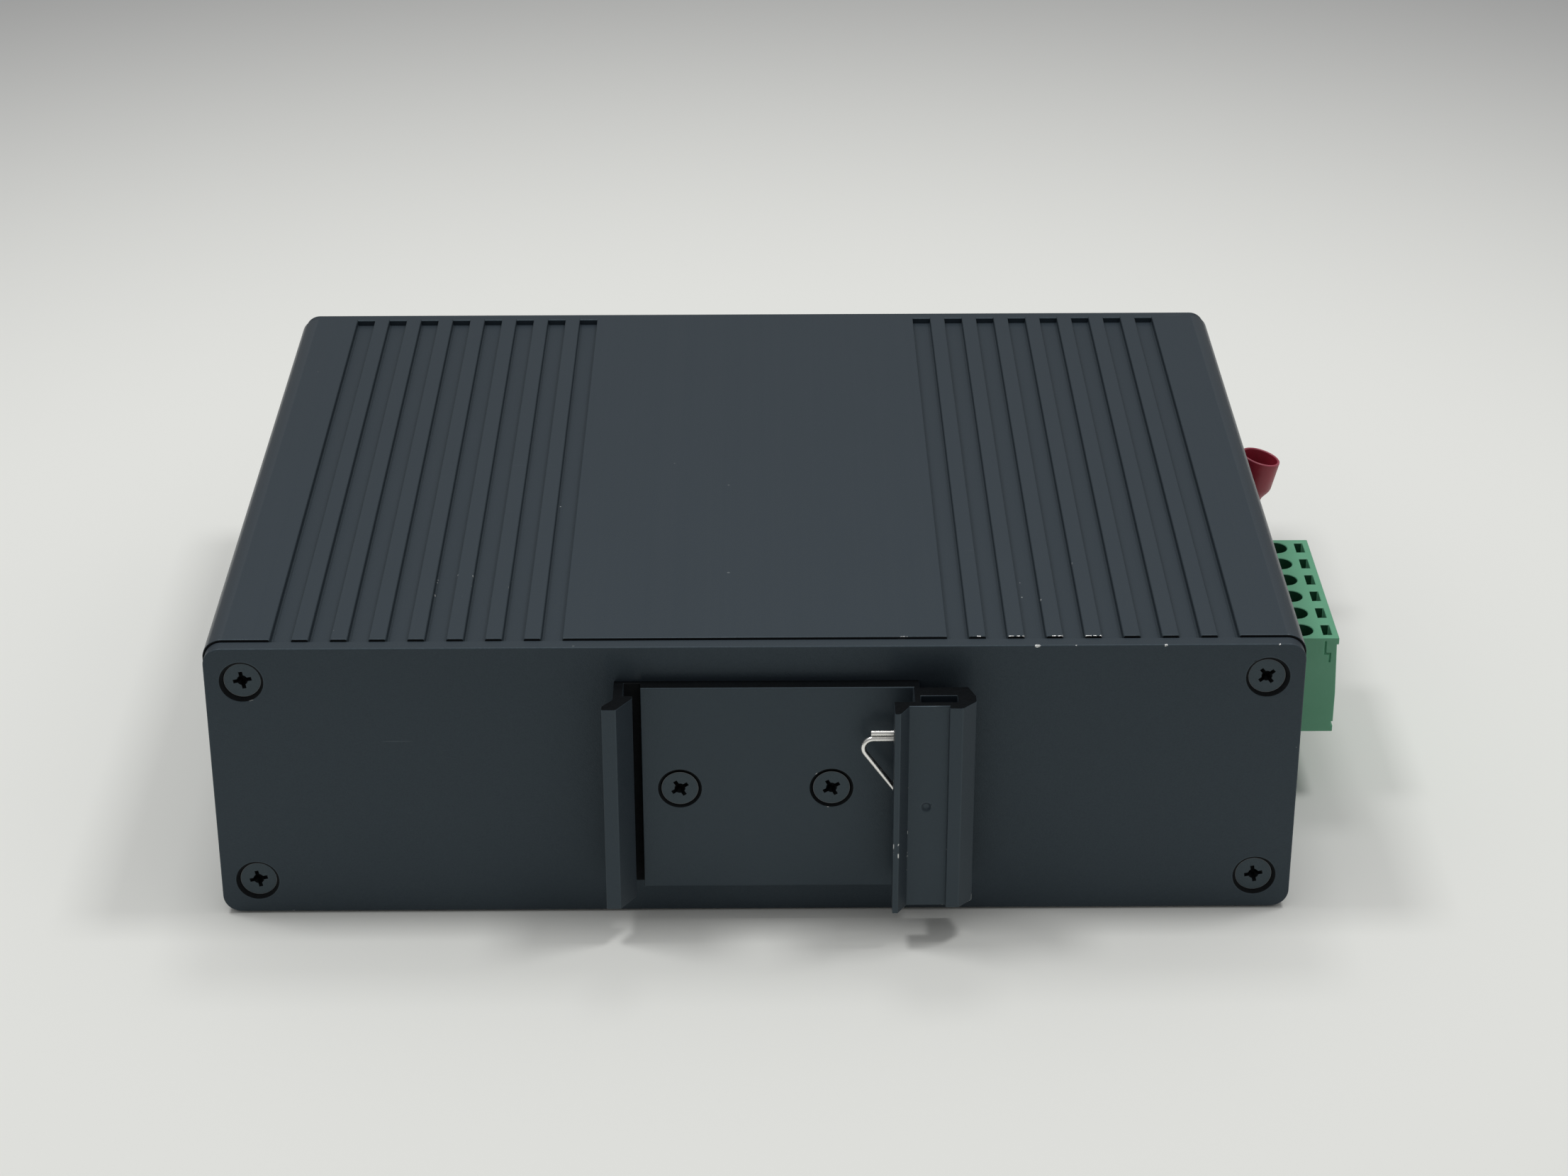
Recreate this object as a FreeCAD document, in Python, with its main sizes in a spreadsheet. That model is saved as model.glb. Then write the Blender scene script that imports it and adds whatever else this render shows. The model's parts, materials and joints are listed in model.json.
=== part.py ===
import FreeCAD, Part
import math
import os
import Sketcher

# Industrial network switch for a 35 mm rail, lying on its large ribbed face.
# Millimetres. +X right and +Y away, seen from the rail clip's side. +Z up.
# The origin is the centre of the face that it rests on.

os.makedirs("parts", exist_ok=True)
doc = FreeCAD.newDocument("network_switch")

# Driving dimensions
sizes = {
    # Extruded case sleeve and its two end plates
    "case_width": 140.0,
    "case_depth": 110.5,
    "case_height": 39.4,
    "corner_radius": 2.6,
    "side_wall": 2.4,
    "face_wall": 3.0,
    "groove_count": 8,
    "groove_width": 2.7,
    "groove_depth": 1.1,
    "groove_pitch": 4.9,
    "groove_start": 25.7,
    "plate_thickness": 2.0,
    "plate_step": 0.3,
    "boss_inset": 5.0,
    "boss_radius": 2.8,
    "ledge_reach": 2.6,
    "ledge_thickness": 1.2,
    # Countersunk screws
    "screw_radius": 1.5,
    "screw_head_radius": 2.45,
    "screw_length": 10.0,
    "countersink_radius": 2.8,
    "recess_length": 2.2,
    "recess_width": 0.55,
    "recess_depth": 0.85,
    "thread_gap": 0.05,
    "hole_gap": 0.2,
    "seat_gap": 0.02,
    # Rail clip, sawn from one extrusion
    "clip_length": 29.2,
    "clip_plate": 2.0,
    "rail_gap": 35.45,
    "slot_wall_x": 20.0,
    "undercut_reach": 1.2,
    "undercut_floor": 0.6,
    "undercut_mouth": 0.95,
    "hook_wall": 1.25,
    "beak_underside": 3.9,
    "beak_tip": 0.7,
    "hook_flare_start": 4.9,
    "hook_flare_end": 6.6,
    "hook_flare": 1.3,
    "hook_front": 7.6,
    "hook_lip_width": 1.8,
    "slot_roof": 5.8,
    "lip_overhang": 2.6,
    "lip_front": 9.0,
    "lip_width": 0.7,
    "lip_slope": 1.2,
    "box_front": 7.0,
    "box_wall": 0.75,
    "hollow_length": 4.65,
    "hollow_floor": 4.2,
    "hollow_roof": 5.9,
    "land_x": 24.3,
    "land_rise": 0.6,
    "land_width": 1.65,
    "box_end_x": 27.75,
    "box_end_chamfer": 1.8,
    "box_back_chamfer": 2.3,
    "box_back_inset": 0.85,
    "clip_screw_spacing": 19.4,
    "clip_screw_length": 5.0,
    "stake_radius": 0.7,
    "stake_depth": 0.5,
    "stake_offset": 1.6,
    # Wire spring in the clip's hollow
    "wire_radius": 0.35,
    "spring_apex": 7.6,
    "spring_upper_above": 9.5,
    "spring_strand_pitch": 0.79,
    "spring_base_from_wall": 2.0,
    "spring_free_end": 1.4,
    "spring_lower_below": 5.6,
    "spring_bend": 1.3,
    "spring_base_bend": 0.8,
    "spring_back_gap": 0.15,
    "spring_window_play": 0.9,
    # Main board
    "board_bottom": 8.2,
    "board_thickness": 1.6,
    "board_side_gap": 0.4,
    "board_slot_play": 0.2,
    "board_back_gap": 2.5,
    "board_front_gap": 0.5,
    # Terminal header and its plug
    "way_count": 6,
    "way_pitch": 5.08,
    "terminal_y": -10.35,
    "header_mouth_inset": 0.1,
    "header_depth": 12.0,
    "header_height": 8.6,
    "header_wall": 0.85,
    "header_back": 3.0,
    "header_opening_gap": 0.4,
    "pin_size": 1.0,
    "pin_height": 4.1,
    "pin_reach": 7.1,
    "pin_leg_gap": 0.6,
    "pin_below_board": 1.4,
    "board_hole_radius": 0.75,
    "plug_gap": 0.4,
    "plug_body_depth": 9.0,
    "plug_height": 14.5,
    "plug_nose_gap": 0.15,
    "plug_nose_end_gap": 0.6,
    "plug_screw_hole_radius": 1.75,
    "plug_screw_x": 5.0,
    "plug_lip_height": 1.0,
    "plug_lip_reach": 0.28,
    "plug_taper_foot": 6.1,
    "plug_notch_foot": 0.95,
    "plug_notch_height": 0.6,
    "plug_notch_depth": 0.25,
    "plug_window_x": 1.45,
    "plug_window_length": 3.0,
    "plug_window_width": 1.2,
    "plug_window_depth": 2.2,
    "plug_window_step": 0.45,
    "plug_rib_width": 0.55,
    "plug_rib_length": 0.9,
    "plug_channel": 3.7,
    "plug_seam_width": 0.2,
    "plug_seam_depth": 0.25,
    "plug_seam_top": 0.5,
    "plug_seam_x": 1.95,
    "plug_seam_step": 0.7,
    "plug_seam_upper": 2.0,
    "plug_seam_lower": 1.2,
    "clamp_screw_radius": 1.6,
    "clamp_screw_depth": 4.2,
    "clamp_screw_length": 4.8,
    "clamp_slot": 0.6,
    "cage_gap": 0.1,
    "cage_wall": 0.5,
    "cage_length": 4.6,
    "contact_gap": 0.1,
    "contact_thickness": 0.4,
    "contact_width": 2.2,
    # Ground screw and ring lug on the right side
    "ground_y": 28.3,
    "ground_z": 12.0,
    "ground_screw_radius": 2.0,
    "ground_screw_length": 5.2,
    "ground_head_radius": 3.9,
    "ground_head_height": 2.4,
    "washer_thickness": 1.1,
    "washer_radius": 3.4,
    "washer_split": 0.4,
    "lug_thickness": 0.8,
    "lug_radius": 4.0,
    "lug_tilt": 14.5,
    "lug_neck": 1.7,
    "lug_bend_inset": 0.3,
    "barrel_offset": 1.4,
    "barrel_radius": 1.75,
    "barrel_bore": 1.1,
    "barrel_floor": 0.8,
    "barrel_length": 5.0,
    "sleeve_start": 0.9,
    "sleeve_gap": 0.05,
    "sleeve_radius": 2.1,
    "sleeve_mouth_radius": 3.0,
    "sleeve_mouth_wall": 0.4,
    "sleeve_length": 9.4,
    "sleeve_straight": 2.8,
    "sleeve_flare": 1.9,
    # Network jacks in one stacked block
    "jack_columns": 4,
    "jack_pitch": 13.9,
    "jack_side": 1.4,
    "jack_left": -50.0,
    "jack_roof_gap": 0.3,
    "jack_depth": 24.0,
    "jack_proud": 0.2,
    "jack_mouth_width": 11.8,
    "jack_latch_width": 6.2,
    "jack_latch_height": 1.5,
    "jack_tab_width": 3.6,
    "jack_tab_height": 1.2,
    "jack_tab_wall": 2.1,
    "jack_cavity_depth": 15.0,
    "jack_cavity_margin": 1.0,
    "jack_contact_count": 8,
    "jack_contact_size": 0.4,
    "jack_contact_pitch": 1.02,
    "jack_contact_length": 9.0,
    "jack_contact_gap": 0.35,
    "shield_thickness": 0.3,
    "window_gap": 0.3,
    # Fibre module cages
    "cage_count": 2,
    "module_pitch": 17.5,
    "module_x": 27.0,
    "module_width": 14.3,
    "module_height": 9.8,
    "module_length": 47.0,
    "module_wall": 0.3,
    "module_proud": 0.6,
    "socket_width": 11.0,
    "socket_height": 6.0,
    "socket_length": 9.0,
    "socket_slot": 1.2,
    "socket_slot_depth": 6.0,
    "socket_slot_inset": 1.0,
    # Status lamps
    "lamp_columns": 2,
    "lamp_rows": 4,
    "lamp_pitch": 4.5,
    "lamp_radius": 1.45,
    "lamp_x": -60.2,
    "lamp_z": 13.6,
    "lamp_proud": 0.6,
    "lamp_holder_depth": 8.0,
    "lamp_holder_margin": 2.2,
    "lamp_bevel": 0.4,
    # Parts on the board
    "chip_size": 20.0,
    "chip_height": 1.4,
    "chip_x": 10.0,
    "chip_y": -4.0,
    "pad_height": 0.5,
    "sink_size": 22.0,
    "sink_base": 2.0,
    "sink_fin": 1.2,
    "sink_fin_height": 8.0,
    "sink_fin_count": 7,
    "magnetics_length": 12.7,
    "magnetics_depth": 9.6,
    "magnetics_height": 5.6,
    "magnetics_y": 19.0,
    "magnetics_chamfer": 0.8,
    "controller_count": 2,
    "controller_size": 9.0,
    "controller_height": 1.0,
    "controller_y": 4.0,
    "controller_pitch": 27.8,
    "capacitor_count": 3,
    "capacitor_radius": 6.25,
    "capacitor_height": 20.0,
    "capacitor_pitch": 15.0,
    "capacitor_x": -50.0,
    "capacitor_y": -40.0,
    "capacitor_neck": 0.5,
    "capacitor_neck_z": 2.2,
    "inductor_count": 2,
    "inductor_size": 12.5,
    "inductor_height": 6.5,
    "inductor_chamfer": 2.4,
    "inductor_x": 36.0,
    "inductor_y": -16.0,
    "inductor_pitch": 16.0,
    "core_length": 20.0,
    "core_width": 17.0,
    "core_height": 14.0,
    "core_leg": 4.0,
    "core_x": 8.0,
    "core_y": -36.0,
    "winding_height": 8.0,
    "winding_gap": 0.2,
    "varistor_count": 3,
    "varistor_radius": 4.6,
    "varistor_thickness": 3.6,
    "varistor_pitch": 10.16,
    "varistor_x": 50.0,
    "crystal_length": 5.0,
    "crystal_width": 3.2,
    "crystal_height": 1.0,
    "crystal_gap": 4.0,
}

sheet = doc.addObject("Spreadsheet::Sheet", "Sizes")
for row, (name, amount) in enumerate(sizes.items(), 1):
    sheet.set("A%d" % row, name)
    sheet.set("B%d" % row, str(amount))
    sheet.setAlias("B%d" % row, name)
doc.recompute()


class Size:
    """A length together with the sheet expression that gives it."""

    def __init__(self, value, text):
        self.value = float(value)
        self.text = text

    def _join(self, sign, other, value, swap=False):
        left, right = (other, self) if swap else (self, other)
        return Size(value, "(%s %s %s)" % (left.text, sign, right.text))

    def __add__(self, other):
        other = as_size(other)
        return self._join("+", other, self.value + other.value)

    def __sub__(self, other):
        other = as_size(other)
        return self._join("-", other, self.value - other.value)

    def __rsub__(self, other):
        other = as_size(other)
        return self._join("-", other, other.value - self.value, swap=True)

    def __mul__(self, other):
        other = as_size(other)
        return self._join("*", other, self.value * other.value)

    def __truediv__(self, other):
        other = as_size(other)
        return self._join("/", other, self.value / other.value)

    def __neg__(self):
        return Size(-self.value, "(0 - %s)" % self.text)

    __radd__ = __add__
    __rmul__ = __mul__


def as_size(amount):
    return amount if isinstance(amount, Size) else Size(amount, "(%r)" % float(amount))


def sine(degrees):
    return Size(math.sin(math.radians(degrees.value)), "sin(%s)" % degrees.text)


def cosine(degrees):
    return Size(math.cos(math.radians(degrees.value)), "cos(%s)" % degrees.text)


class Sheet:
    """Gives each driving dimension by its name."""

    def __getattr__(self, name):
        return Size(sizes[name], "Sizes." + name)


s = Sheet()
nodes = []


def node(label, thing):
    thing.Label = label
    nodes.append(thing)
    return thing


def bind(thing, prop, amount):
    thing.setExpression(prop, as_size(amount).text)


def place(thing, x, y, z, rotation=None):
    """Puts a thing at x, y, z, turned by a rotation."""
    if rotation:
        thing.Placement = FreeCAD.Placement(FreeCAD.Vector(), rotation)
    for axis, amount in zip("xyz", (x, y, z)):
        bind(thing, "Placement.Base." + axis, amount)
    return thing


# Outlines for sketches

def rect(x0, y0, x1, y1):
    return "lines", [(x0, y0), (x1, y0), (x1, y1), (x0, y1)]


def lines(*corners):
    return "lines", list(corners)


def circle(x, y, radius):
    return "circle", (x, y, radius)


def fix_point(sketch, geometry, end, x, y):
    for kind, amount in (("DistanceX", as_size(x)), ("DistanceY", as_size(y))):
        number = sketch.addConstraint(Sketcher.Constraint(kind, -1, 1, geometry, end, amount.value))
        sketch.setExpression("Constraints[%d]" % number, amount.text)


def draw(sketch, outline):
    kind, data = outline
    if kind == "circle":
        x, y, radius = (as_size(value) for value in data)
        middle = FreeCAD.Vector(x.value, y.value, 0)
        edge = sketch.addGeometry(Part.Circle(middle, FreeCAD.Vector(0, 0, 1), radius.value), False)
        fix_point(sketch, edge, 3, x, y)
        number = sketch.addConstraint(Sketcher.Constraint("Radius", edge, radius.value))
        sketch.setExpression("Constraints[%d]" % number, radius.text)
        return
    points = [FreeCAD.Vector(as_size(x).value, as_size(y).value, 0) for x, y in data]
    first = len(sketch.Geometry)
    count = len(points)
    for index in range(count):
        sketch.addGeometry(Part.LineSegment(points[index], points[(index + 1) % count]), False)
    for index in range(count):
        following = first + (index + 1) % count
        sketch.addConstraint(Sketcher.Constraint("Coincident", first + index, 2, following, 1))
    for index, (x, y) in enumerate(data):
        fix_point(sketch, first + index, 1, x, y)


def origin_part(body, role):
    return next(item for item in body.Origin.OriginFeatures if item.Role == role)


def new_sketch(body, name, plane, at, outlines):
    """A sketch on one of the body's own planes, moved along +X, +Y or +Z by at."""
    sketch = body.newObject("Sketcher::SketchObject", name + "_sketch")
    sketch.AttachmentSupport = [(origin_part(body, plane + "_Plane"), "")]
    sketch.MapMode = "FlatFace"
    bind(sketch, "AttachmentOffset.Base.z", -as_size(at) if plane == "XZ" else at)
    for outline in outlines:
        draw(sketch, outline)
    return sketch


def new_body(name, several=False):
    body = doc.addObject("PartDesign::Body", name)
    body.AllowCompound = several
    return body


def pad(body, name, plane, at, length, *outlines):
    """Material from at to at + length along the plane's positive axis."""
    feature = body.newObject("PartDesign::Pad", name)
    feature.Profile = new_sketch(body, name, plane, at, outlines)
    feature.Reversed = plane == "XZ"
    bind(feature, "Length", length)
    return feature


def pocket(body, name, plane, at, length, *outlines):
    """Removes what lies from at to at + length along the plane's positive axis."""
    doc.recompute()
    before = body.Shape.Volume
    feature = body.newObject("PartDesign::Pocket", name)
    feature.Profile = new_sketch(body, name, plane, at, outlines)
    feature.Reversed = plane != "XZ"
    bind(feature, "Length", length)
    doc.recompute()
    if body.Shape.Volume > before - 1e-6:
        raise RuntimeError(name + " cuts nothing")
    return feature


def row_of(body, name, features, axis, pitch, count, reverse=False):
    """Repeats features along an axis, a pitch apart."""
    pattern = body.newObject("PartDesign::LinearPattern", name)
    pattern.Originals = features if isinstance(features, list) else [features]
    pattern.Direction = (origin_part(body, axis + "_Axis"), [""])
    pattern.Reversed = reverse
    bind(pattern, "Length", pitch * (count - 1))
    bind(pattern, "Occurrences", count)
    body.Tip = pattern
    doc.recompute()
    return pattern


def edges_where(shape, test):
    return ["Edge%d" % (i + 1) for i, edge in enumerate(shape.Edges) if test(edge)]


def runs_along(edge, axis):
    ends = [vertex.Point for vertex in edge.Vertexes]
    if len(ends) < 2:
        return False
    step = ends[1] - ends[0]
    return abs(abs(getattr(step, axis)) - step.Length) < 1e-6


def fillet(body, name, radius, test):
    doc.recompute()
    feature = body.newObject("PartDesign::Fillet", name)
    base = feature.BaseFeature or body.Tip
    feature.Base = (base, edges_where(base.Shape, test))
    bind(feature, "Radius", radius)
    doc.recompute()
    return feature


def chamfer(body, name, amount, test):
    doc.recompute()
    feature = body.newObject("PartDesign::Chamfer", name)
    base = feature.BaseFeature or body.Tip
    feature.Base = (base, edges_where(base.Shape, test))
    bind(feature, "Size", amount)
    doc.recompute()
    return feature


def primitive(kind, name, **amounts):
    thing = doc.addObject("Part::" + kind, name)
    for prop, amount in amounts.items():
        bind(thing, prop, amount)
    return thing


def fuse(name, *things):
    joined = doc.addObject("Part::MultiFuse", name)
    joined.Shapes = list(things)
    return joined


def cut(name, base, tool):
    result = doc.addObject("Part::Cut", name)
    result.Base = base
    result.Tool = tool
    return result


def group(label, things):
    together = doc.addObject("Part::Compound", label)
    together.Links = things
    return node(label, together)


towards_back = FreeCAD.Rotation(FreeCAD.Vector(1, 0, 0), 90)
towards_front = FreeCAD.Rotation(FreeCAD.Vector(1, 0, 0), -90)
towards_right = FreeCAD.Rotation(FreeCAD.Vector(0, 1, 0), 90)


def spun(rotation, degrees):
    return rotation.multiply(FreeCAD.Rotation(FreeCAD.Vector(0, 0, 1), degrees))


# Places that several pieces share
half_width = s.case_width / 2
half_depth = s.case_depth / 2
back_y = -half_depth
sleeve_length = s.case_depth - 2 * s.plate_thickness
boss_x = half_width - s.boss_inset
boss_low = s.boss_inset
boss_high = s.case_height - s.boss_inset
bosses = [(x, z) for z in (boss_low, boss_high) for x in (-boss_x, boss_x)]
inner_x = half_width - s.side_wall
board_top = s.board_bottom + s.board_thickness
board_back = back_y + s.plate_thickness + s.board_back_gap
board_front = half_depth - s.plate_thickness - s.board_front_gap
clip_middle = s.case_height / 2
clip_bottom = clip_middle - s.clip_length / 2
clip_screw_x = s.clip_screw_spacing / 2
screw_sink = s.countersink_radius - s.screw_head_radius - s.seat_gap
plug_half = s.way_pitch * s.way_count / 2
first_way = s.terminal_y - s.way_pitch * (s.way_count - 1) / 2
header_mouth = half_width - s.header_mouth_inset
header_left = header_mouth - s.header_depth
header_half = plug_half + s.header_wall + s.plug_nose_gap
header_top = board_top + s.header_height
pin_z = board_top + s.pin_height
jack_width = s.jack_pitch * s.jack_columns + s.jack_side
jack_right = s.jack_left + jack_width
jack_face = half_depth + s.jack_proud
jack_back = jack_face - s.jack_depth
jack_top = s.case_height - s.face_wall - s.jack_roof_gap - s.shield_thickness
jack_row_height = (jack_top - board_top) / 2


def countersunk_holes(body, name, places, outer_y, depth, radius):
    """Holes with a 90 degree seat in the body's outer face, which looks along -Y or +Y."""
    outwards = towards_back if as_size(outer_y).value < 0 else towards_front
    inwards = 1 if as_size(outer_y).value < 0 else -1
    for number, (x, z) in enumerate(places, 1):
        hole = body.newObject("PartDesign::SubtractiveCylinder", "%s_%d" % (name, number))
        bind(hole, "Radius", radius)
        bind(hole, "Height", depth)
        place(hole, x, outer_y + inwards * depth, z, outwards)
        seat = body.newObject("PartDesign::SubtractiveCone", "%s_seat_%d" % (name, number))
        bind(seat, "Radius1", radius)
        bind(seat, "Radius2", s.countersink_radius)
        seat_depth = s.countersink_radius - radius
        bind(seat, "Height", seat_depth)
        place(seat, x, outer_y + inwards * seat_depth, z, outwards)
    doc.recompute()


def countersunk_screw(name, x, y, z, rotation, length):
    """A cross-recessed screw, its head's flat at x, y, z and its tip behind it."""
    head_height = s.screw_head_radius - s.screw_radius
    head = primitive("Cone", name + "_head", Radius1=s.screw_radius, Radius2=s.screw_head_radius,
                     Height=head_height)
    place(head, 0, 0, -head_height)
    shank = primitive("Cylinder", name + "_shank", Radius=s.screw_radius, Height=length - head_height)
    place(shank, 0, 0, -length)
    arms = []
    for arm, (long, wide) in enumerate([(s.recess_length, s.recess_width),
                                        (s.recess_width, s.recess_length)]):
        box = primitive("Box", "%s_arm_%d" % (name, arm), Length=long, Width=wide, Height=s.recess_depth)
        arms.append(place(box, -long / 2, -wide / 2, -s.recess_depth))
    screw = cut(name, fuse(name + "_blank", head, shank), fuse(name + "_recess", *arms))
    return place(screw, x, y, z, rotation)


# Case sleeve: an aluminium extrusion with grooves along both large faces
def make_case_sleeve():
    body = new_body("case_sleeve_body")
    start = back_y + s.plate_thickness
    pad(body, "tube", "XZ", start, sleeve_length, rect(-half_width, 0, half_width, s.case_height))
    fillet(body, "tube_corners", s.corner_radius, lambda edge: runs_along(edge, "y"))
    pocket(body, "tube_inside", "XZ", start, sleeve_length,
           rect(-inner_x, s.face_wall, inner_x, s.case_height - s.face_wall))
    pad(body, "screw_bosses", "XZ", start, sleeve_length,
        *[circle(x, z, s.boss_radius) for x, z in bosses])
    low = s.board_bottom
    high = board_top + s.board_slot_play
    ledges = []
    for bottom, top in ((low - s.ledge_thickness, low), (high, high + s.ledge_thickness)):
        ledges.append(rect(-inner_x - s.side_wall / 2, bottom, -inner_x + s.ledge_reach, top))
        ledges.append(rect(inner_x - s.ledge_reach, bottom, inner_x + s.side_wall / 2, top))
    pad(body, "board_ledges", "XZ", start, sleeve_length, *ledges)
    pocket(body, "boss_bores", "XZ", start, sleeve_length,
           *[circle(x, z, s.screw_radius + s.thread_gap) for x, z in bosses])
    for name, side in (("right_grooves", 1), ("left_grooves", -1)):
        inner = s.groove_start - s.groove_width / 2
        outer = s.groove_start + s.groove_width / 2
        edge_a, edge_b = (inner, outer) if side > 0 else (-outer, -inner)
        first = pocket(body, name + "_first", "XZ", start, sleeve_length,
                       rect(edge_a, 0, edge_b, s.groove_depth),
                       rect(edge_a, s.case_height - s.groove_depth, edge_b, s.case_height))
        row_of(body, name, first, "X", s.groove_pitch, s.groove_count, reverse=side < 0)
    gap = s.header_opening_gap
    reach = s.side_wall + s.ledge_reach
    pocket(body, "terminal_opening", "YZ", half_width - reach, reach,
           rect(s.terminal_y - header_half - gap, board_top - gap,
                s.terminal_y + header_half + gap, header_top + gap))
    pocket(body, "ground_bore", "YZ", half_width - reach, reach,
           circle(s.ground_y, s.ground_z, s.ground_screw_radius + s.thread_gap))
    return node("case_sleeve", body)


# Back plate: carries the rail clip, whose screws are tapped into it
def plate(name, start):
    body = new_body(name + "_body")
    step = s.plate_step
    pad(body, name + "_sheet", "XZ", start, s.plate_thickness,
        rect(-half_width + step, step, half_width - step, s.case_height - step))
    fillet(body, name + "_corners", s.corner_radius - step, lambda edge: runs_along(edge, "y"))
    return body


def make_back_plate():
    body = plate("back_plate", back_y)
    countersunk_holes(body, "corner_hole", bosses, back_y, s.plate_thickness,
                      s.screw_radius + s.hole_gap)
    pocket(body, "clip_taps", "XZ", back_y, s.plate_thickness,
           *[circle(x, clip_middle, s.screw_radius + s.thread_gap) for x in (-clip_screw_x, clip_screw_x)])
    return node("back_plate", body)


# Front plate: windows for the jacks, module cages and lamps
def make_front_plate():
    start = half_depth - s.plate_thickness
    body = plate("front_plate", start)
    countersunk_holes(body, "corner_hole", bosses, half_depth, s.plate_thickness,
                      s.screw_radius + s.hole_gap)
    around = s.shield_thickness + s.window_gap
    windows = [rect(s.jack_left - around, board_top - s.window_gap, jack_right + around, jack_top + around)]
    pocket(body, "jack_window", "XZ", start, s.plate_thickness, *windows)
    half = s.module_width / 2 + s.window_gap
    first = pocket(body, "module_window", "XZ", start, s.plate_thickness,
                   rect(s.module_x - half, board_top - s.window_gap, s.module_x + half,
                        board_top + s.module_height + s.window_gap))
    row_of(body, "module_windows", first, "X", s.module_pitch, s.cage_count)
    first = pocket(body, "lamp_hole", "XZ", start, s.plate_thickness,
                   circle(s.lamp_x, s.lamp_z, s.lamp_radius + s.hole_gap))
    multiply(body, "lamp_holes", first, ("X", s.lamp_pitch, s.lamp_columns), ("Z", s.lamp_pitch, s.lamp_rows))
    return node("front_plate", body)


def multiply(body, name, feature, *rows):
    """Repeats a feature along two axes, as a grid."""
    grid = body.newObject("PartDesign::MultiTransform", name)
    grid.Originals = feature if isinstance(feature, list) else [feature]
    steps = []
    for number, (axis, pitch, count) in enumerate(rows):
        step = body.newObject("PartDesign::LinearPattern", "%s_%d" % (name, number))
        step.Direction = (origin_part(body, axis + "_Axis"), [""])
        bind(step, "Length", pitch * (count - 1))
        bind(step, "Occurrences", count)
        steps.append(step)
    grid.Transformations = steps
    body.Tip = grid
    doc.recompute()
    return grid


# How far each back plate screw happens to be turned, in the order of the bosses
back_screw_turns = (12, 10, 10, 38)
front_screw_turns = (5, 30, 62, 20)
clip_screw_turns = (33, 31)
ground_screw_turn = 20


def make_plate_screws():
    screws = [countersunk_screw("back_screw_%d" % i, x, back_y + screw_sink, z,
                                spun(towards_back, turn), s.screw_length)
              for i, ((x, z), turn) in enumerate(zip(bosses, back_screw_turns), 1)]
    group("back_plate_screws", screws)
    screws = [countersunk_screw("front_screw_%d" % i, x, half_depth - screw_sink, z,
                                spun(towards_front, turn), s.screw_length)
              for i, ((x, z), turn) in enumerate(zip(bosses, front_screw_turns), 1)]
    group("front_plate_screws", screws)


# Rail clip: base plate, left hook with an undercut beak, right hook with a hollow box behind its lip
beak_x = s.slot_wall_x - s.rail_gap
undercut_x = beak_x - s.undercut_reach
hook_x = undercut_x - s.hook_wall
lip_x = s.slot_wall_x - s.lip_overhang
hollow_x = s.slot_wall_x + s.box_wall


def out(distance):
    """The place that stands a distance behind the case."""
    return back_y - distance


def make_rail_clip():
    body = new_body("rail_clip_body")
    left = hook_x - s.hook_flare
    land_end = s.land_x + s.land_width
    land_front = s.box_front + s.land_rise
    outline = lines(
        (hook_x, out(0)),
        (hook_x, out(s.hook_flare_start)),
        (left, out(s.hook_flare_end)),
        (left, out(s.hook_front)),
        (left + s.hook_lip_width, out(s.hook_front)),
        (beak_x, out(s.beak_underside + s.beak_tip)),
        (beak_x, out(s.beak_underside)),
        (undercut_x, out(s.beak_underside)),
        (undercut_x, out(s.undercut_floor)),
        (beak_x + s.undercut_mouth, out(s.undercut_floor)),
        (beak_x + s.undercut_mouth, out(s.clip_plate)),
        (s.slot_wall_x, out(s.clip_plate)),
        (s.slot_wall_x, out(s.slot_roof)),
        (lip_x, out(s.slot_roof)),
        (lip_x, out(s.lip_front)),
        (lip_x + s.lip_width, out(s.lip_front)),
        (lip_x + s.lip_width + s.lip_slope, out(s.box_front)),
        (s.land_x, out(s.box_front)),
        (s.land_x, out(land_front)),
        (land_end, out(land_front)),
        (s.box_end_x, out(land_front - s.box_end_chamfer)),
        (s.box_end_x, out(s.clip_plate + s.box_back_chamfer)),
        (s.box_end_x - s.box_back_inset, out(s.clip_plate)),
        (hollow_x, out(s.clip_plate)),
        (hollow_x, out(0)))
    pad(body, "profile", "XY", clip_bottom, s.clip_length, outline)
    pocket(body, "hollow", "XY", clip_bottom, s.clip_length,
           rect(hollow_x, out(s.hollow_roof), hollow_x + s.hollow_length, out(s.hollow_floor)))
    low = clip_middle - s.spring_lower_below - s.spring_window_play
    high = clip_middle + s.spring_upper_above + s.spring_window_play
    pocket(body, "spring_window", "XZ", out(s.hollow_roof), s.hollow_roof - s.hollow_floor,
           rect(s.slot_wall_x, low, hollow_x, high))
    stake = body.newObject("PartDesign::SubtractiveCylinder", "stake_mark")
    bind(stake, "Radius", s.stake_radius)
    bind(stake, "Height", s.stake_depth)
    place(stake, s.slot_wall_x + s.stake_offset, out(s.box_front - s.stake_depth), clip_middle, towards_back)
    countersunk_holes(body, "clip_hole", [(-clip_screw_x, clip_middle), (clip_screw_x, clip_middle)],
                      out(s.clip_plate), s.clip_plate, s.screw_radius + s.hole_gap)
    return node("rail_clip", body)


def make_clip_screws():
    screws = [countersunk_screw("clip_screw_%d" % i, x, out(s.clip_plate) + screw_sink, clip_middle,
                                spun(towards_back, turn), s.clip_screw_length)
              for i, (x, turn) in enumerate(zip((-clip_screw_x, clip_screw_x), clip_screw_turns), 1)]
    group("rail_clip_screws", screws)


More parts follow.
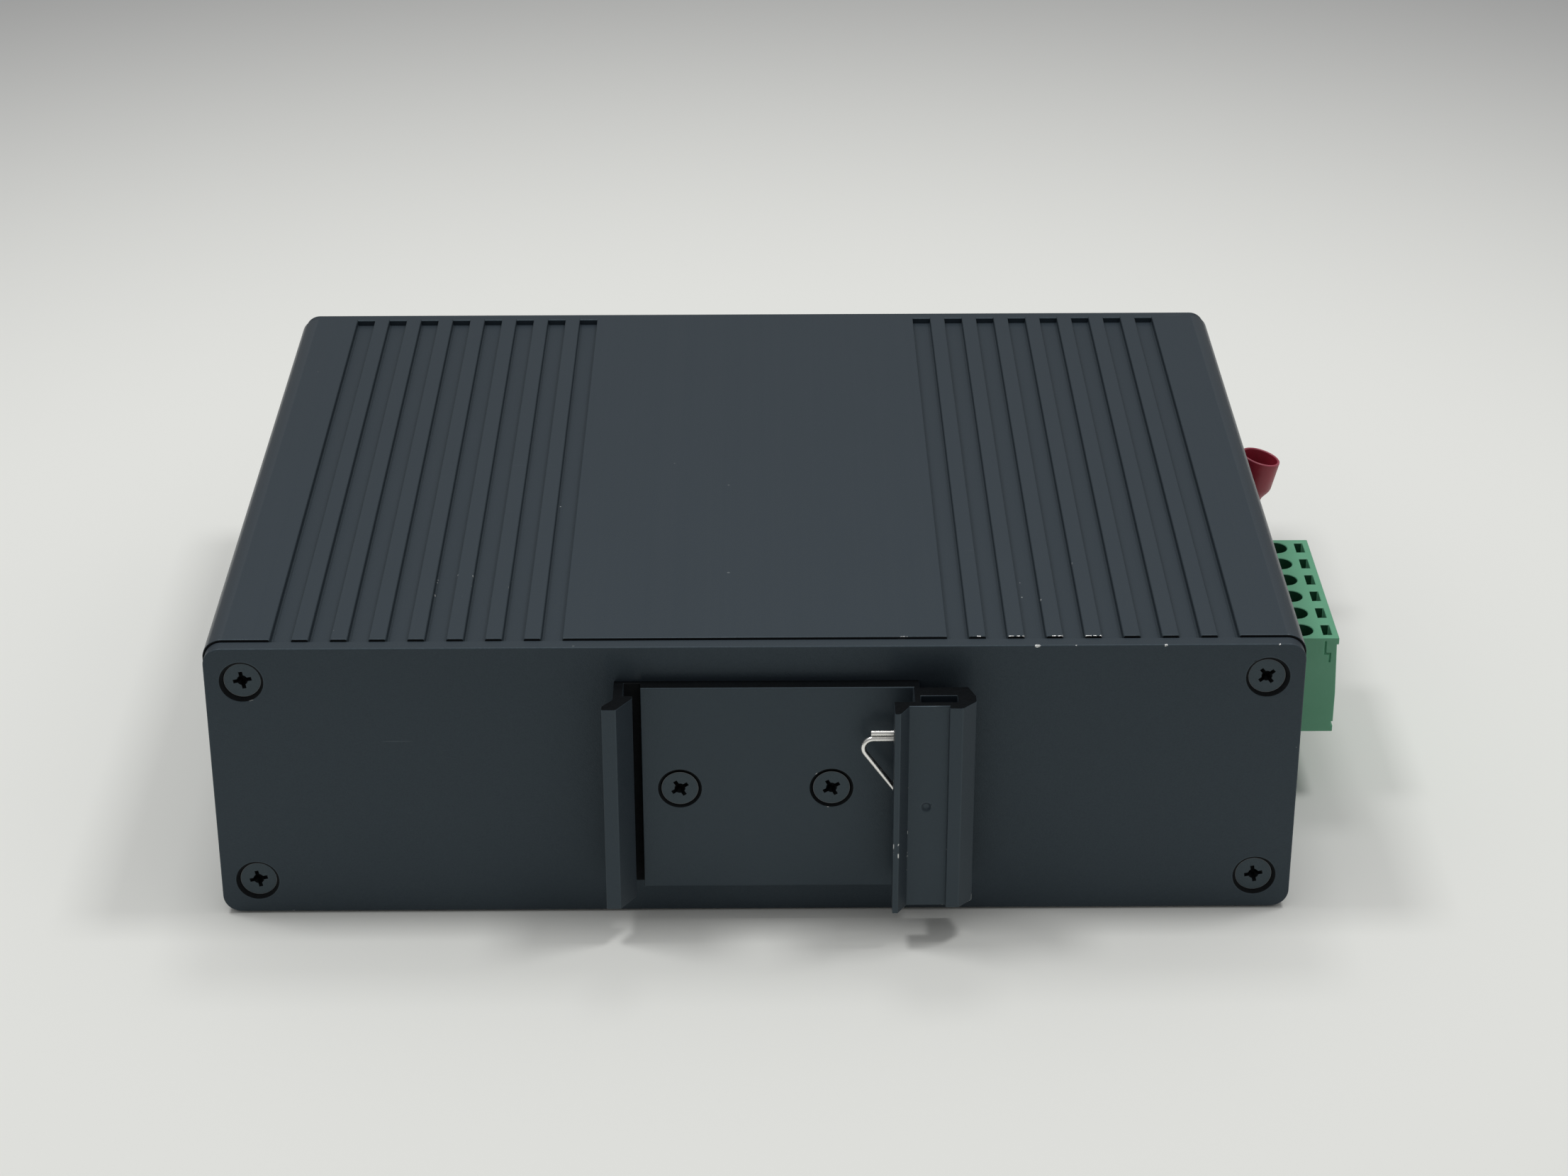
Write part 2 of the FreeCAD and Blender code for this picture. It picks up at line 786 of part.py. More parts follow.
# Wire spring: a bent triangle whose upper side is doubled, its base held in the clip's hollow
def rounded_path(corners, radii):
    """Straight runs joined by tangent arcs."""
    edges = []
    start = corners[0]
    for before, corner, after, radius in zip(corners, corners[1:], corners[2:], radii):
        back = (before - corner).normalize()
        ahead = (after - corner).normalize()
        half = back.getAngle(ahead) / 2
        trim = radius / math.tan(half)
        rise = radius / math.sin(half) - radius
        first = corner + back * trim
        last = corner + ahead * trim
        middle = corner + (back + ahead).normalize() * rise
        edges.append(Part.LineSegment(start, first).toShape())
        edges.append(Part.Arc(first, middle, last).toShape())
        start = last
    edges.append(Part.LineSegment(start, corners[-1]).toShape())
    return Part.Wire(edges)


def make_rail_spring():
    apex_x = (s.slot_wall_x - s.spring_apex).value
    base_x = (hollow_x + s.spring_base_from_wall).value
    top = (clip_middle + s.spring_upper_above).value
    second = (clip_middle + s.spring_upper_above - s.spring_strand_pitch).value
    bottom = (clip_middle - s.spring_lower_below).value
    depth = out(s.hollow_floor + s.spring_back_gap + s.wire_radius).value
    wire = s.wire_radius.value
    corners = [(apex_x + s.spring_free_end.value, top), (base_x, top), (base_x, bottom), (apex_x, second),
               (base_x - s.spring_free_end.value, second)]
    points = [FreeCAD.Vector(x, depth, z) for x, z in corners]
    bends = [s.spring_base_bend.value, s.spring_base_bend.value, s.spring_bend.value]
    path = rounded_path(points, bends)
    section = Part.Face(Part.Wire([Part.Circle(points[0], FreeCAD.Vector(1, 0, 0), wire).toShape()]))
    spring = doc.addObject("Part::Feature", "rail_spring_wire")
    spring.Shape = path.makePipe(section)
    return node("rail_spring", spring)


# Main board, held by its two long edges between the sleeve's ledges
def make_main_board():
    body = new_body("main_board_body")
    edge = inner_x - s.board_side_gap
    pad(body, "sheet", "XY", s.board_bottom, s.board_thickness, rect(-edge, board_back, edge, board_front))
    hole = pocket(body, "pin_hole", "XY", s.board_bottom, s.board_thickness,
                  circle(header_left - s.pin_leg_gap - s.pin_size / 2, first_way, s.board_hole_radius))
    row_of(body, "pin_holes", hole, "Y", s.way_pitch, s.way_count)
    return node("main_board", body)


# Terminal header, its bent pins, and the plug that pulls off them
def make_header():
    body = new_body("terminal_header_body")
    low = s.terminal_y - header_half
    high = s.terminal_y + header_half
    wall = s.header_wall
    pad(body, "shroud", "YZ", header_left, s.header_depth, rect(low, board_top, high, header_top))
    pocket(body, "socket", "YZ", header_left + s.header_back, s.header_depth - s.header_back,
           rect(low + wall, board_top + wall, high - wall, header_top - wall))
    half = s.pin_size / 2
    hole = pocket(body, "pin_passage", "YZ", header_left, s.header_back,
                  rect(first_way - half, pin_z - half, first_way + half, pin_z + half))
    row_of(body, "pin_passages", hole, "Y", s.way_pitch, s.way_count)
    node("terminal_header", body)
    pins = new_body("header_pins_body", several=True)
    leg_right = header_left - s.pin_leg_gap
    leg_left = leg_right - s.pin_size
    tip = header_left + s.header_back + s.pin_reach
    foot = s.board_bottom - s.pin_below_board
    pin = pad(pins, "pin", "XZ", first_way - half, s.pin_size, lines(
        (leg_left, foot), (leg_right, foot), (leg_right, pin_z - half), (tip, pin_z - half),
        (tip, pin_z + half), (leg_left, pin_z + half)))
    row_of(pins, "pin_row", pin, "Y", s.way_pitch, s.way_count)
    return node("header_pins", pins)


plug_left = half_width + s.plug_gap
plug_right = plug_left + s.plug_body_depth
plug_low = board_top
plug_top = plug_low + s.plug_height
plug_near = s.terminal_y - plug_half
plug_far = s.terminal_y + plug_half
nose_left = header_left + s.header_back + s.plug_nose_end_gap
nose_low = board_top + s.header_wall + s.plug_nose_gap
nose_high = header_top - s.header_wall - s.plug_nose_gap
channel_low = pin_z - s.plug_channel / 2
channel_high = pin_z + s.plug_channel / 2
screw_x = plug_right - s.plug_screw_x


def make_plug():
    body = new_body("terminal_plug_body")
    lip_z = plug_top - s.plug_lip_height
    notch_low = plug_low + s.plug_notch_foot
    notch_high = notch_low + s.plug_notch_height
    notch_x = plug_right - s.plug_notch_depth
    pad(body, "block", "XZ", plug_near, plug_far - plug_near, lines(
        (plug_left, plug_low), (plug_right, plug_low), (plug_right, notch_low), (notch_x, notch_low),
        (notch_x, notch_high), (plug_right, notch_high), (plug_right, plug_low + s.plug_taper_foot),
        (plug_right - s.plug_lip_reach, lip_z), (plug_right, lip_z), (plug_right, plug_top),
        (plug_left, plug_top)))
    pad(body, "nose", "YZ", nose_left, plug_left - nose_left, rect(plug_near, nose_low, plug_far, nose_high))
    half = s.plug_channel / 2
    channel = pocket(body, "channel", "YZ", nose_left, plug_right - nose_left,
                     rect(first_way - half, channel_low, first_way + half, channel_high))
    well = pocket(body, "screw_well", "XY", channel_high, plug_top - channel_high,
                  circle(screw_x, first_way, s.plug_screw_hole_radius))
    window_x = plug_right - s.plug_window_x
    across = s.plug_window_width / 2
    along = s.plug_window_length / 2
    near = first_way - along
    rib = s.plug_rib_width / 2
    window = pocket(body, "window", "XY", plug_top - s.plug_window_step, s.plug_window_step,
                    rect(window_x - across, near, window_x + across, first_way + along))
    depth = s.plug_window_depth - s.plug_window_step
    deeper = pocket(body, "window_depth", "XY", plug_top - s.plug_window_depth, depth, lines(
        (window_x - across, near), (window_x - rib, near), (window_x - rib, near + s.plug_rib_length),
        (window_x + rib, near + s.plug_rib_length), (window_x + rib, near), (window_x + across, near),
        (window_x + across, first_way + along), (window_x - across, first_way + along)))
    row_of(body, "ways", [channel, well, window, deeper], "Y", s.way_pitch, s.way_count)
    wide = s.plug_seam_width
    seam_x = plug_right - s.plug_seam_x
    stepped_x = seam_x + s.plug_seam_step
    seam_top = plug_top - s.plug_seam_top
    seam_turn = seam_top - s.plug_seam_upper
    seam_foot = seam_turn - s.plug_seam_lower
    pocket(body, "end_seam", "XZ", plug_near, s.plug_seam_depth, lines(
        (seam_x, seam_top), (seam_x, seam_turn), (stepped_x, seam_turn), (stepped_x, seam_foot),
        (stepped_x + wide, seam_foot), (stepped_x + wide, seam_turn + wide),
        (seam_x + wide, seam_turn + wide), (seam_x + wide, seam_top)))
    return node("terminal_plug", body)


def make_plug_metal():
    screws = new_body("plug_clamp_screws_body", several=True)
    head_top = plug_top - s.clamp_screw_depth
    foot = head_top - s.clamp_screw_length
    head_height = head_top - channel_high
    screw = pad(screws, "head", "XY", channel_high, head_height,
                circle(screw_x, first_way, s.clamp_screw_radius))
    shank = pad(screws, "shank", "XY", foot, channel_high - foot,
                circle(screw_x, first_way, s.clamp_screw_radius - s.hole_gap))
    slot = pocket(screws, "slot", "XY", head_top - s.clamp_slot, s.clamp_slot,
                  rect(screw_x - s.clamp_screw_radius, first_way - s.clamp_slot / 2,
                       screw_x + s.clamp_screw_radius, first_way + s.clamp_slot / 2))
    row_of(screws, "screw_row", [screw, shank, slot], "Y", s.way_pitch, s.way_count)
    node("plug_clamp_screws", screws)

    cages = new_body("plug_clamp_cages_body", several=True)
    half = s.plug_channel / 2 - s.cage_gap
    low = channel_low + s.cage_gap
    high = channel_high - s.cage_gap
    start = screw_x - s.cage_length / 2
    cage = pad(cages, "cage", "YZ", start, s.cage_length, rect(first_way - half, low, first_way + half, high))
    wall = s.cage_wall
    inside = pocket(cages, "cage_inside", "YZ", start, s.cage_length,
                    rect(first_way - half + wall, low + wall, first_way + half - wall, high - wall))
    tap = pocket(cages, "cage_tap", "XY", high - wall, wall,
                 circle(screw_x, first_way, s.clamp_screw_radius - s.hole_gap + s.thread_gap))
    row_of(cages, "cage_row", [cage, inside, tap], "Y", s.way_pitch, s.way_count)
    node("plug_clamp_cages", cages)

    contacts = new_body("plug_contacts_body", several=True)
    near = s.pin_size / 2 + s.contact_gap
    far = near + s.contact_thickness
    bridge = header_left + s.header_back + s.pin_reach + s.contact_thickness
    wide = s.contact_width
    mouth = nose_left + s.plug_nose_end_gap
    contact = pad(contacts, "contact", "XZ", first_way - wide / 2, wide, lines(
        (mouth, pin_z + near), (bridge, pin_z + near), (bridge, pin_z - near), (mouth, pin_z - near),
        (mouth, pin_z - far), (screw_x + s.cage_length / 2, pin_z - far),
        (screw_x + s.cage_length / 2, pin_z - near), (bridge + s.contact_thickness, pin_z - near),
        (bridge + s.contact_thickness, pin_z + far), (mouth, pin_z + far)))
    row_of(contacts, "contact_row", contact, "Y", s.way_pitch, s.way_count)
    return node("plug_contacts", contacts)


# Ground screw on the right side, clamping a ring lug whose red sleeve leans outwards
def make_ground():
    lug_out = half_width + s.lug_thickness
    head_left = lug_out + s.washer_thickness
    head = primitive("Cylinder", "ground_head", Radius=s.ground_head_radius, Height=s.ground_head_height)
    shank = primitive("Cylinder", "ground_shank", Radius=s.ground_screw_radius, Height=s.ground_screw_length)
    place(shank, 0, 0, -s.ground_screw_length)
    arms = []
    for arm, (long, wide) in enumerate([(s.recess_length * 2, s.recess_width * 2),
                                        (s.recess_width * 2, s.recess_length * 2)]):
        box = primitive("Box", "ground_arm_%d" % arm, Length=long, Width=wide, Height=s.recess_depth)
        arms.append(place(box, -long / 2, -wide / 2, s.ground_head_height - s.recess_depth))
    screw = cut("ground_screw_cut", fuse("ground_blank", head, shank), fuse("ground_recess", *arms))
    node("ground_screw", place(screw, head_left, s.ground_y, s.ground_z,
                               spun(towards_right, ground_screw_turn)))

    ring = primitive("Cylinder", "washer_disc", Radius=s.washer_radius, Height=s.washer_thickness)
    hole = primitive("Cylinder", "washer_hole", Radius=s.ground_screw_radius + s.hole_gap,
                     Height=s.washer_thickness)
    split = primitive("Box", "washer_split", Length=s.washer_radius, Width=s.washer_split,
                      Height=s.washer_thickness)
    washer = cut("ground_washer_cut", ring, fuse("washer_openings", hole, split))
    node("ground_washer", place(washer, lug_out, s.ground_y, s.ground_z, towards_right))

    lean = FreeCAD.Rotation(FreeCAD.Vector(0, 1, 0), s.lug_tilt.value)
    ring = primitive("Cylinder", "lug_disc", Radius=s.lug_radius, Height=s.lug_thickness)
    place(ring, half_width, s.ground_y, s.ground_z, towards_right)
    hole = primitive("Cylinder", "lug_hole", Radius=s.ground_screw_radius + s.hole_gap,
                     Height=s.lug_thickness)
    place(hole, half_width, s.ground_y, s.ground_z, towards_right)
    foot_x = half_width + s.barrel_radius + s.seat_gap + s.barrel_offset
    foot_z = s.ground_z + s.lug_radius + s.lug_thickness
    neck = new_body("lug_neck_body")
    neck_low = s.ground_z + s.lug_radius / 2
    bend_z = s.ground_z + s.lug_radius
    end_x = foot_x - s.barrel_radius
    end_z = foot_z + s.lug_thickness
    pad(neck, "lug_neck", "XZ", s.ground_y - s.lug_neck, 2 * s.lug_neck, lines(
        (half_width, neck_low), (lug_out, neck_low), (lug_out, bend_z - s.lug_bend_inset),
        (end_x + s.lug_thickness, end_z - s.lug_bend_inset), (end_x, end_z), (half_width, bend_z)))

    def along_barrel(thing, distance):
        """Places a thing on the leaning axis, a distance from the barrel's foot."""
        x = foot_x + distance * sine(s.lug_tilt)
        return place(thing, x, s.ground_y, foot_z + distance * cosine(s.lug_tilt), lean)

    barrel = primitive("Cylinder", "lug_barrel", Radius=s.barrel_radius, Height=s.barrel_length)
    bore = primitive("Cylinder", "lug_bore", Radius=s.barrel_bore, Height=s.barrel_length)
    blank = fuse("lug_blank", ring, neck, along_barrel(barrel, 0))
    along_barrel(bore, s.barrel_floor)
    node("ground_lug", cut("ground_lug_cut", blank, fuse("lug_openings", hole, bore)))

    body = new_body("ground_sleeve_body")
    inner = s.barrel_radius + s.sleeve_gap
    mouth = s.sleeve_mouth_radius
    mouth_in = mouth - s.sleeve_mouth_wall
    shoulder = s.sleeve_straight + s.sleeve_flare
    sketch = new_sketch(body, "sleeve_wall", "XZ", 0, [lines(
        (inner, 0), (s.sleeve_radius, 0), (s.sleeve_radius, s.sleeve_straight), (mouth, shoulder),
        (mouth, s.sleeve_length), (mouth_in, s.sleeve_length), (mouth_in, shoulder),
        (inner, s.sleeve_straight))])
    turned = body.newObject("PartDesign::Revolution", "sleeve_turned")
    turned.Profile = sketch
    turned.ReferenceAxis = (sketch, ["V_Axis"])
    turned.Angle = 360.0
    doc.recompute()
    return node("ground_sleeve", along_barrel(body, s.sleeve_start))


# Stacked network jacks: one moulding with a T-shaped mouth for each, a sheet shield and spring contacts
def jack_mouth(x, z, up):
    """The outline of one mouth from the middle of its flat side, its latch side up or down."""
    way = 1 if up else -1
    wide = s.jack_mouth_width / 2
    latch = s.jack_latch_width / 2
    tab = s.jack_tab_width / 2
    one = z + way * jack_mouth_height
    two = one + way * s.jack_latch_height
    three = two + way * s.jack_tab_height
    return lines((x - wide, z), (x + wide, z), (x + wide, one), (x + latch, one), (x + latch, two),
                 (x + tab, two), (x + tab, three), (x - tab, three), (x - tab, two), (x - latch, two),
                 (x - latch, one), (x - wide, one))


jack_first_x = s.jack_left + s.jack_side / 2 + s.jack_pitch / 2
jack_middle = board_top + jack_row_height
jack_mouth_height = (jack_row_height - s.jack_cavity_margin - s.jack_latch_height - s.jack_tab_height
                     - s.jack_tab_wall)
jack_rows = ((jack_middle - s.jack_cavity_margin, False), (jack_middle + s.jack_cavity_margin, True))


def make_jacks():
    body = new_body("jack_block_body")
    pad(body, "block", "XZ", jack_back, s.jack_depth, rect(s.jack_left, board_top, jack_right, jack_top))
    mouths = [pocket(body, "mouth_%d" % row, "XZ", jack_face - s.jack_cavity_depth, s.jack_cavity_depth,
                     jack_mouth(jack_first_x, z, up)) for row, (z, up) in enumerate(jack_rows)]
    row_of(body, "mouth_columns", mouths, "X", s.jack_pitch, s.jack_columns)
    node("jack_block", body)

    shield = new_body("jack_shield_body")
    skin = s.shield_thickness
    pad(shield, "wrap", "XZ", jack_back - skin, s.jack_depth,
        rect(s.jack_left - skin, board_top, jack_right + skin, jack_top + skin))
    pocket(shield, "wrap_inside", "XZ", jack_back, s.jack_depth - skin,
           rect(s.jack_left, board_top, jack_right, jack_top))
    node("jack_shield", shield)

    contacts = new_body("jack_contacts_body", several=True)
    size = s.jack_contact_size
    start = jack_face - s.jack_cavity_depth
    first_x = jack_first_x - s.jack_contact_pitch * (s.jack_contact_count - 1) / 2
    strips = []
    for row, (z, up) in enumerate(jack_rows):
        low = z + s.jack_contact_gap if up else z - s.jack_contact_gap - size
        strips.append(pad(contacts, "strip_%d" % row, "XZ", start, s.jack_contact_length,
                          rect(first_x - size / 2, low, first_x + size / 2, low + size)))
    multiply(contacts, "strips", strips, ("X", s.jack_contact_pitch, s.jack_contact_count),
             ("X", s.jack_pitch, s.jack_columns))
    return node("jack_contacts", contacts)


# Fibre module cages: folded sheet tubes with a card-edge socket at the back of each
def make_modules():
    front = half_depth + s.module_proud
    back = front - s.module_length
    skin = s.module_wall
    for number in range(1, int(sizes["cage_count"]) + 1):
        x = s.module_x + s.module_pitch * (number - 1)
        half = s.module_width / 2
        cage = new_body("module_cage_%d_body" % number)
        pad(cage, "tube_%d" % number, "XZ", back, s.module_length,
            rect(x - half, board_top, x + half, board_top + s.module_height))
        pocket(cage, "inside_%d" % number, "XZ", back + skin, s.module_length - skin,
               rect(x - half + skin, board_top + skin, x + half - skin, board_top + s.module_height - skin))
        wide = s.socket_width / 2
        pocket(cage, "foot_%d" % number, "XY", board_top, skin,
               rect(x - wide - skin, back + 2 * skin, x + wide + skin, back + 4 * skin + s.socket_length))
        node("module_cage_%d" % number, cage)
        socket = new_body("module_socket_%d_body" % number)
        start = back + 3 * skin
        pad(socket, "block_%d" % number, "XZ", start, s.socket_length,
            rect(x - wide, board_top, x + wide, board_top + s.socket_height))
        middle = board_top + s.socket_height / 2
        slot_half = wide - s.socket_slot_inset
        pocket(socket, "slot_%d" % number, "XZ", start + s.socket_length - s.socket_slot_depth,
               s.socket_slot_depth, rect(x - slot_half, middle - s.socket_slot / 2,
                                         x + slot_half, middle + s.socket_slot / 2))
        node("module_socket_%d" % number, socket)


# Status lamps: clear heads in a black holder, showing through the front plate
def make_lamps():
    holder = new_body("lamp_holder_body")
    across = s.lamp_pitch * (s.lamp_columns - 1)
    up = s.lamp_pitch * (s.lamp_rows - 1)
    margin = s.lamp_holder_margin
    face = half_depth - s.plate_thickness
    start = face - s.lamp_holder_depth
    pad(holder, "holder", "XZ", start, s.lamp_holder_depth,
        rect(s.lamp_x - margin, board_top, s.lamp_x + across + margin, s.lamp_z + up + margin))
    node("lamp_holder", holder)
    lamps = new_body("status_lamps_body", several=True)
    lamp = pad(lamps, "lamp", "XZ", face, s.plate_thickness + s.lamp_proud,
               circle(s.lamp_x, s.lamp_z, s.lamp_radius))
    tip_y = (half_depth + s.lamp_proud).value
    bevel = chamfer(lamps, "lamp_bevel", s.lamp_bevel,
                    lambda edge: edge.BoundBox.YMin > tip_y - s.lamp_bevel.value / 2)
    multiply(lamps, "lamp_grid", [lamp, bevel], ("X", s.lamp_pitch, s.lamp_columns),
             ("Z", s.lamp_pitch, s.lamp_rows))
    return node("status_lamps", lamps)


# Parts soldered to the board
def board_block(label, x, y, long, wide, height, bottom, bevel=None):
    body = new_body(label + "_body")
    pad(body, label + "_block", "XY", bottom, height,
        rect(x - long / 2, y - wide / 2, x + long / 2, y + wide / 2))
    if bevel is not None:
        top = (as_size(bottom) + height).value
        chamfer(body, label + "_bevel", bevel, lambda edge: edge.BoundBox.ZMin > top - 1e-6)
    return node(label, body)


def make_board_parts():
    chip_top = board_top + s.chip_height
    board_block("switch_chip", s.chip_x, s.chip_y, s.chip_size, s.chip_size, s.chip_height, board_top)
    board_block("thermal_pad", s.chip_x, s.chip_y, s.chip_size, s.chip_size, s.pad_height, chip_top)
    sink = new_body("heat_sink_body")
    base = chip_top + s.pad_height
    left = s.chip_x - s.sink_size / 2
    near = s.chip_y - s.sink_size / 2
    pad(sink, "sink_base", "XY", base, s.sink_base, rect(left, near, left + s.sink_size, near + s.sink_size))
    fin = pad(sink, "fin", "XY", base + s.sink_base, s.sink_fin_height,
              rect(left, near, left + s.sink_fin, near + s.sink_size))
    pitch = (s.sink_size - s.sink_fin) / (s.sink_fin_count - 1)
    row_of(sink, "fins", fin, "X", pitch, s.sink_fin_count)
    node("heat_sink", sink)
    for number in range(1, int(sizes["jack_columns"]) + 1):
        x = jack_first_x + s.jack_pitch * (number - 1)
        board_block("magnetics_%d" % number, x, s.magnetics_y, s.magnetics_length, s.magnetics_depth,
                    s.magnetics_height, board_top, s.magnetics_chamfer)
    for number in range(1, int(sizes["controller_count"]) + 1):
        x = jack_first_x + s.controller_pitch * (number - 1)
        board_block("power_controller_%d" % number, x, s.controller_y, s.controller_size,
                    s.controller_size, s.controller_height, board_top)
    for number in range(1, int(sizes["capacitor_count"]) + 1):
        body = new_body("bulk_capacitor_%d_body" % number)
        can = body.newObject("PartDesign::Revolution", "can_%d" % number)
        neck_z = s.capacitor_neck_z
        rim = s.capacitor_radius
        low = rim - s.capacitor_neck
        sketch = new_sketch(body, "can_%d" % number, "XZ", 0, [lines(
            (0, 0), (rim, 0), (rim, neck_z - s.capacitor_neck), (low, neck_z),
            (rim, neck_z + s.capacitor_neck), (rim, s.capacitor_height - s.capacitor_neck),
            (low, s.capacitor_height), (0, s.capacitor_height))])
        can.Profile = sketch
        can.ReferenceAxis = (sketch, ["V_Axis"])
        can.Angle = 360.0
        doc.recompute()
        place(body, s.capacitor_x + s.capacitor_pitch * (number - 1), s.capacitor_y, board_top)
        node("bulk_capacitor_%d" % number, body)
    for number in range(1, int(sizes["inductor_count"]) + 1):
        body = new_body("power_inductor_%d_body" % number)
        y = s.inductor_y + s.inductor_pitch * (number - 1)
        half = s.inductor_size / 2
        pad(body, "inductor_%d" % number, "XY", board_top, s.inductor_height,
            rect(s.inductor_x - half, y - half, s.inductor_x + half, y + half))
        chamfer(body, "inductor_corners_%d" % number, s.inductor_chamfer, lambda edge: runs_along(edge, "z"))
        node("power_inductor_%d" % number, body)
    make_transformer()
    make_varistors()
    board_block("crystal", s.chip_x - s.sink_size / 2 - s.crystal_gap, s.chip_y, s.crystal_width,
                s.crystal_length, s.crystal_height, board_top)


def make_transformer():
    core = new_body("transformer_core_body")
    far = s.core_y + s.core_width / 2
    near = s.core_y - s.core_width / 2
    left = s.core_x - s.core_length / 2
    right = s.core_x + s.core_length / 2
    leg = s.core_leg
    high = board_top + s.core_height
    pad(core, "core", "XZ", near, s.core_width, rect(left, board_top, right, high))
    window_low = board_top + (s.core_height - s.winding_height) / 2
    window_high = window_low + s.winding_height
    pocket(core, "core_windows", "XZ", near, s.core_width,
           rect(left + leg, window_low, s.core_x - leg / 2, window_high),
           rect(s.core_x + leg / 2, window_low, right - leg, window_high))
    node("transformer_core", core)
    coil = new_body("transformer_winding_body")
    gap = s.winding_gap
    pad(coil, "coil", "XY", window_low + gap, s.winding_height - 2 * gap,
        rect(left + leg + gap, near - leg / 2, right - leg - gap, far + leg / 2))
    pocket(coil, "coil_inside", "XY", window_low + gap, s.winding_height - 2 * gap,
           rect(s.core_x - leg / 2 - gap, near - gap, s.core_x + leg / 2 + gap, far + gap))
    node("transformer_winding", coil)


def make_varistors():
    body = new_body("varistors_body", several=True)
    radius = s.varistor_radius
    disc = pad(body, "disc", "YZ", s.varistor_x, s.varistor_thickness,
               circle(first_way, board_top + radius, radius))
    row_of(body, "discs", disc, "Y", s.varistor_pitch, s.varistor_count)
    return node("varistors", body)


make_case_sleeve()
make_back_plate()
make_front_plate()
make_plate_screws()
make_rail_clip()
make_clip_screws()
make_rail_spring()
make_main_board()
make_header()
make_plug()
make_plug_metal()
make_ground()
make_jacks()
make_modules()
make_lamps()
make_board_parts()
doc.recompute()

faults = [item.Name for item in doc.Objects if "Invalid" in item.State or "Error" in item.State]
for thing in nodes:
    if thing.Shape.isNull() or not thing.Shape.isValid():
        faults.append(thing.Label)
if faults:
    raise RuntimeError("these failed: " + ", ".join(faults))
for thing in nodes:
    thing.Shape.exportStep("parts/%s.step" % thing.Label)
    print("%-22s solids %2d volume %10.2f" % (thing.Label, len(thing.Shape.Solids), thing.Shape.Volume))
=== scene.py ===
# Industrial network switch with a rail clip, finished round its frame.
# Metres. +X right and +Y away, seen from the rail clip's side. +Z up.
import json
import math
import bpy
from mathutils import Matrix, Vector

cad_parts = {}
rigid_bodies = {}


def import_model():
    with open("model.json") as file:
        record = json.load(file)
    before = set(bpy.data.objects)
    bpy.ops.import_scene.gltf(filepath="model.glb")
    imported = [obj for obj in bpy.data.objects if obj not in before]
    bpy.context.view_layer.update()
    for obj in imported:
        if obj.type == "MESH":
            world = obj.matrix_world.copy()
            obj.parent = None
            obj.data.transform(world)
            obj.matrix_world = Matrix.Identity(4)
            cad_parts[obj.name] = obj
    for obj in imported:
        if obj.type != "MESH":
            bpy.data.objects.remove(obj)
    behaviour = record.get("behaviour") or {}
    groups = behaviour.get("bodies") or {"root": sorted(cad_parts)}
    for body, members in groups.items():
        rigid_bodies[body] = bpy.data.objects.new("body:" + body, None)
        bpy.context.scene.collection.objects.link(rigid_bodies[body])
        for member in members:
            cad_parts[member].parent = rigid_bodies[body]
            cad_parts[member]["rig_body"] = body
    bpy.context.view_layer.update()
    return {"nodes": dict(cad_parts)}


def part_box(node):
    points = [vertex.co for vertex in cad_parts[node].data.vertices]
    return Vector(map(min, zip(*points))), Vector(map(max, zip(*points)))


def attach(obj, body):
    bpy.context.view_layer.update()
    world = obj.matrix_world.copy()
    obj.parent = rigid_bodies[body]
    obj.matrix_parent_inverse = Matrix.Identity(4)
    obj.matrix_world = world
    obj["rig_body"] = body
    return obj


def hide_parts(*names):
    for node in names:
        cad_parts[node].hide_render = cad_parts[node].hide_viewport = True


for leftover in list(bpy.data.objects):
    bpy.data.objects.remove(leftover)
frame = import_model()
mm = 0.001
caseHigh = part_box("case_sleeve")[1]
facing = 0.9  # a normal with more than this share of an axis faces along it
print("frame loaded:", len(frame["nodes"]), "nodes")


# Selecting, copying and finishing pieces

meshCare = {
    "weldDistance": 0.002 * mm,
    "flatWithin": 0.5,  # degrees between triangles that become one face
}


def deselectAll():
    if bpy.context.object and bpy.context.object.mode != "OBJECT":
        bpy.ops.object.mode_set(mode="OBJECT")
    bpy.ops.object.select_all(action="DESELECT")


def workOn(piece):
    deselectAll()
    piece.select_set(True)
    bpy.context.view_layer.objects.active = piece


# Selects the faces whose middle and normal pass the test, and stays in edit mode
def selectFaces(piece, test):
    workOn(piece)
    bpy.ops.object.mode_set(mode="EDIT")
    bpy.ops.mesh.select_all(action="DESELECT")
    bpy.ops.mesh.select_mode(type="FACE")
    bpy.ops.object.mode_set(mode="OBJECT")
    for face in piece.data.polygons:
        face.select = test(face.center, face.normal)
    bpy.ops.object.mode_set(mode="EDIT")


def applyModifiers(piece):
    workOn(piece)
    for modifier in list(piece.modifiers):
        bpy.ops.object.modifier_apply(modifier=modifier.name)


def placeInMesh(piece):
    workOn(piece)
    bpy.ops.object.transform_apply(location=True, rotation=True, scale=True)


# Joins the loose triangles of a copied mesh into whole faces
def mergeFaces(piece):
    workOn(piece)
    if piece.data.has_custom_normals:
        bpy.ops.mesh.customdata_custom_splitnormals_clear()
    bpy.ops.object.mode_set(mode="EDIT")
    bpy.ops.mesh.select_all(action="SELECT")
    bpy.ops.mesh.remove_doubles(threshold=meshCare["weldDistance"])
    bpy.ops.mesh.dissolve_limited(angle_limit=math.radians(meshCare["flatWithin"]))
    bpy.ops.object.mode_set(mode="OBJECT")


# A new object with a mesh of its own, copied from another object's
def copyMesh(source, name):
    piece = bpy.data.objects.new(name, source.data.copy())
    bpy.context.scene.collection.objects.link(piece)
    piece.data.name = name
    return piece


def copyOfNode(nodeName, pieceName):
    piece = copyMesh(frame["nodes"][nodeName], pieceName)
    piece.data.materials.clear()
    mergeFaces(piece)
    return piece


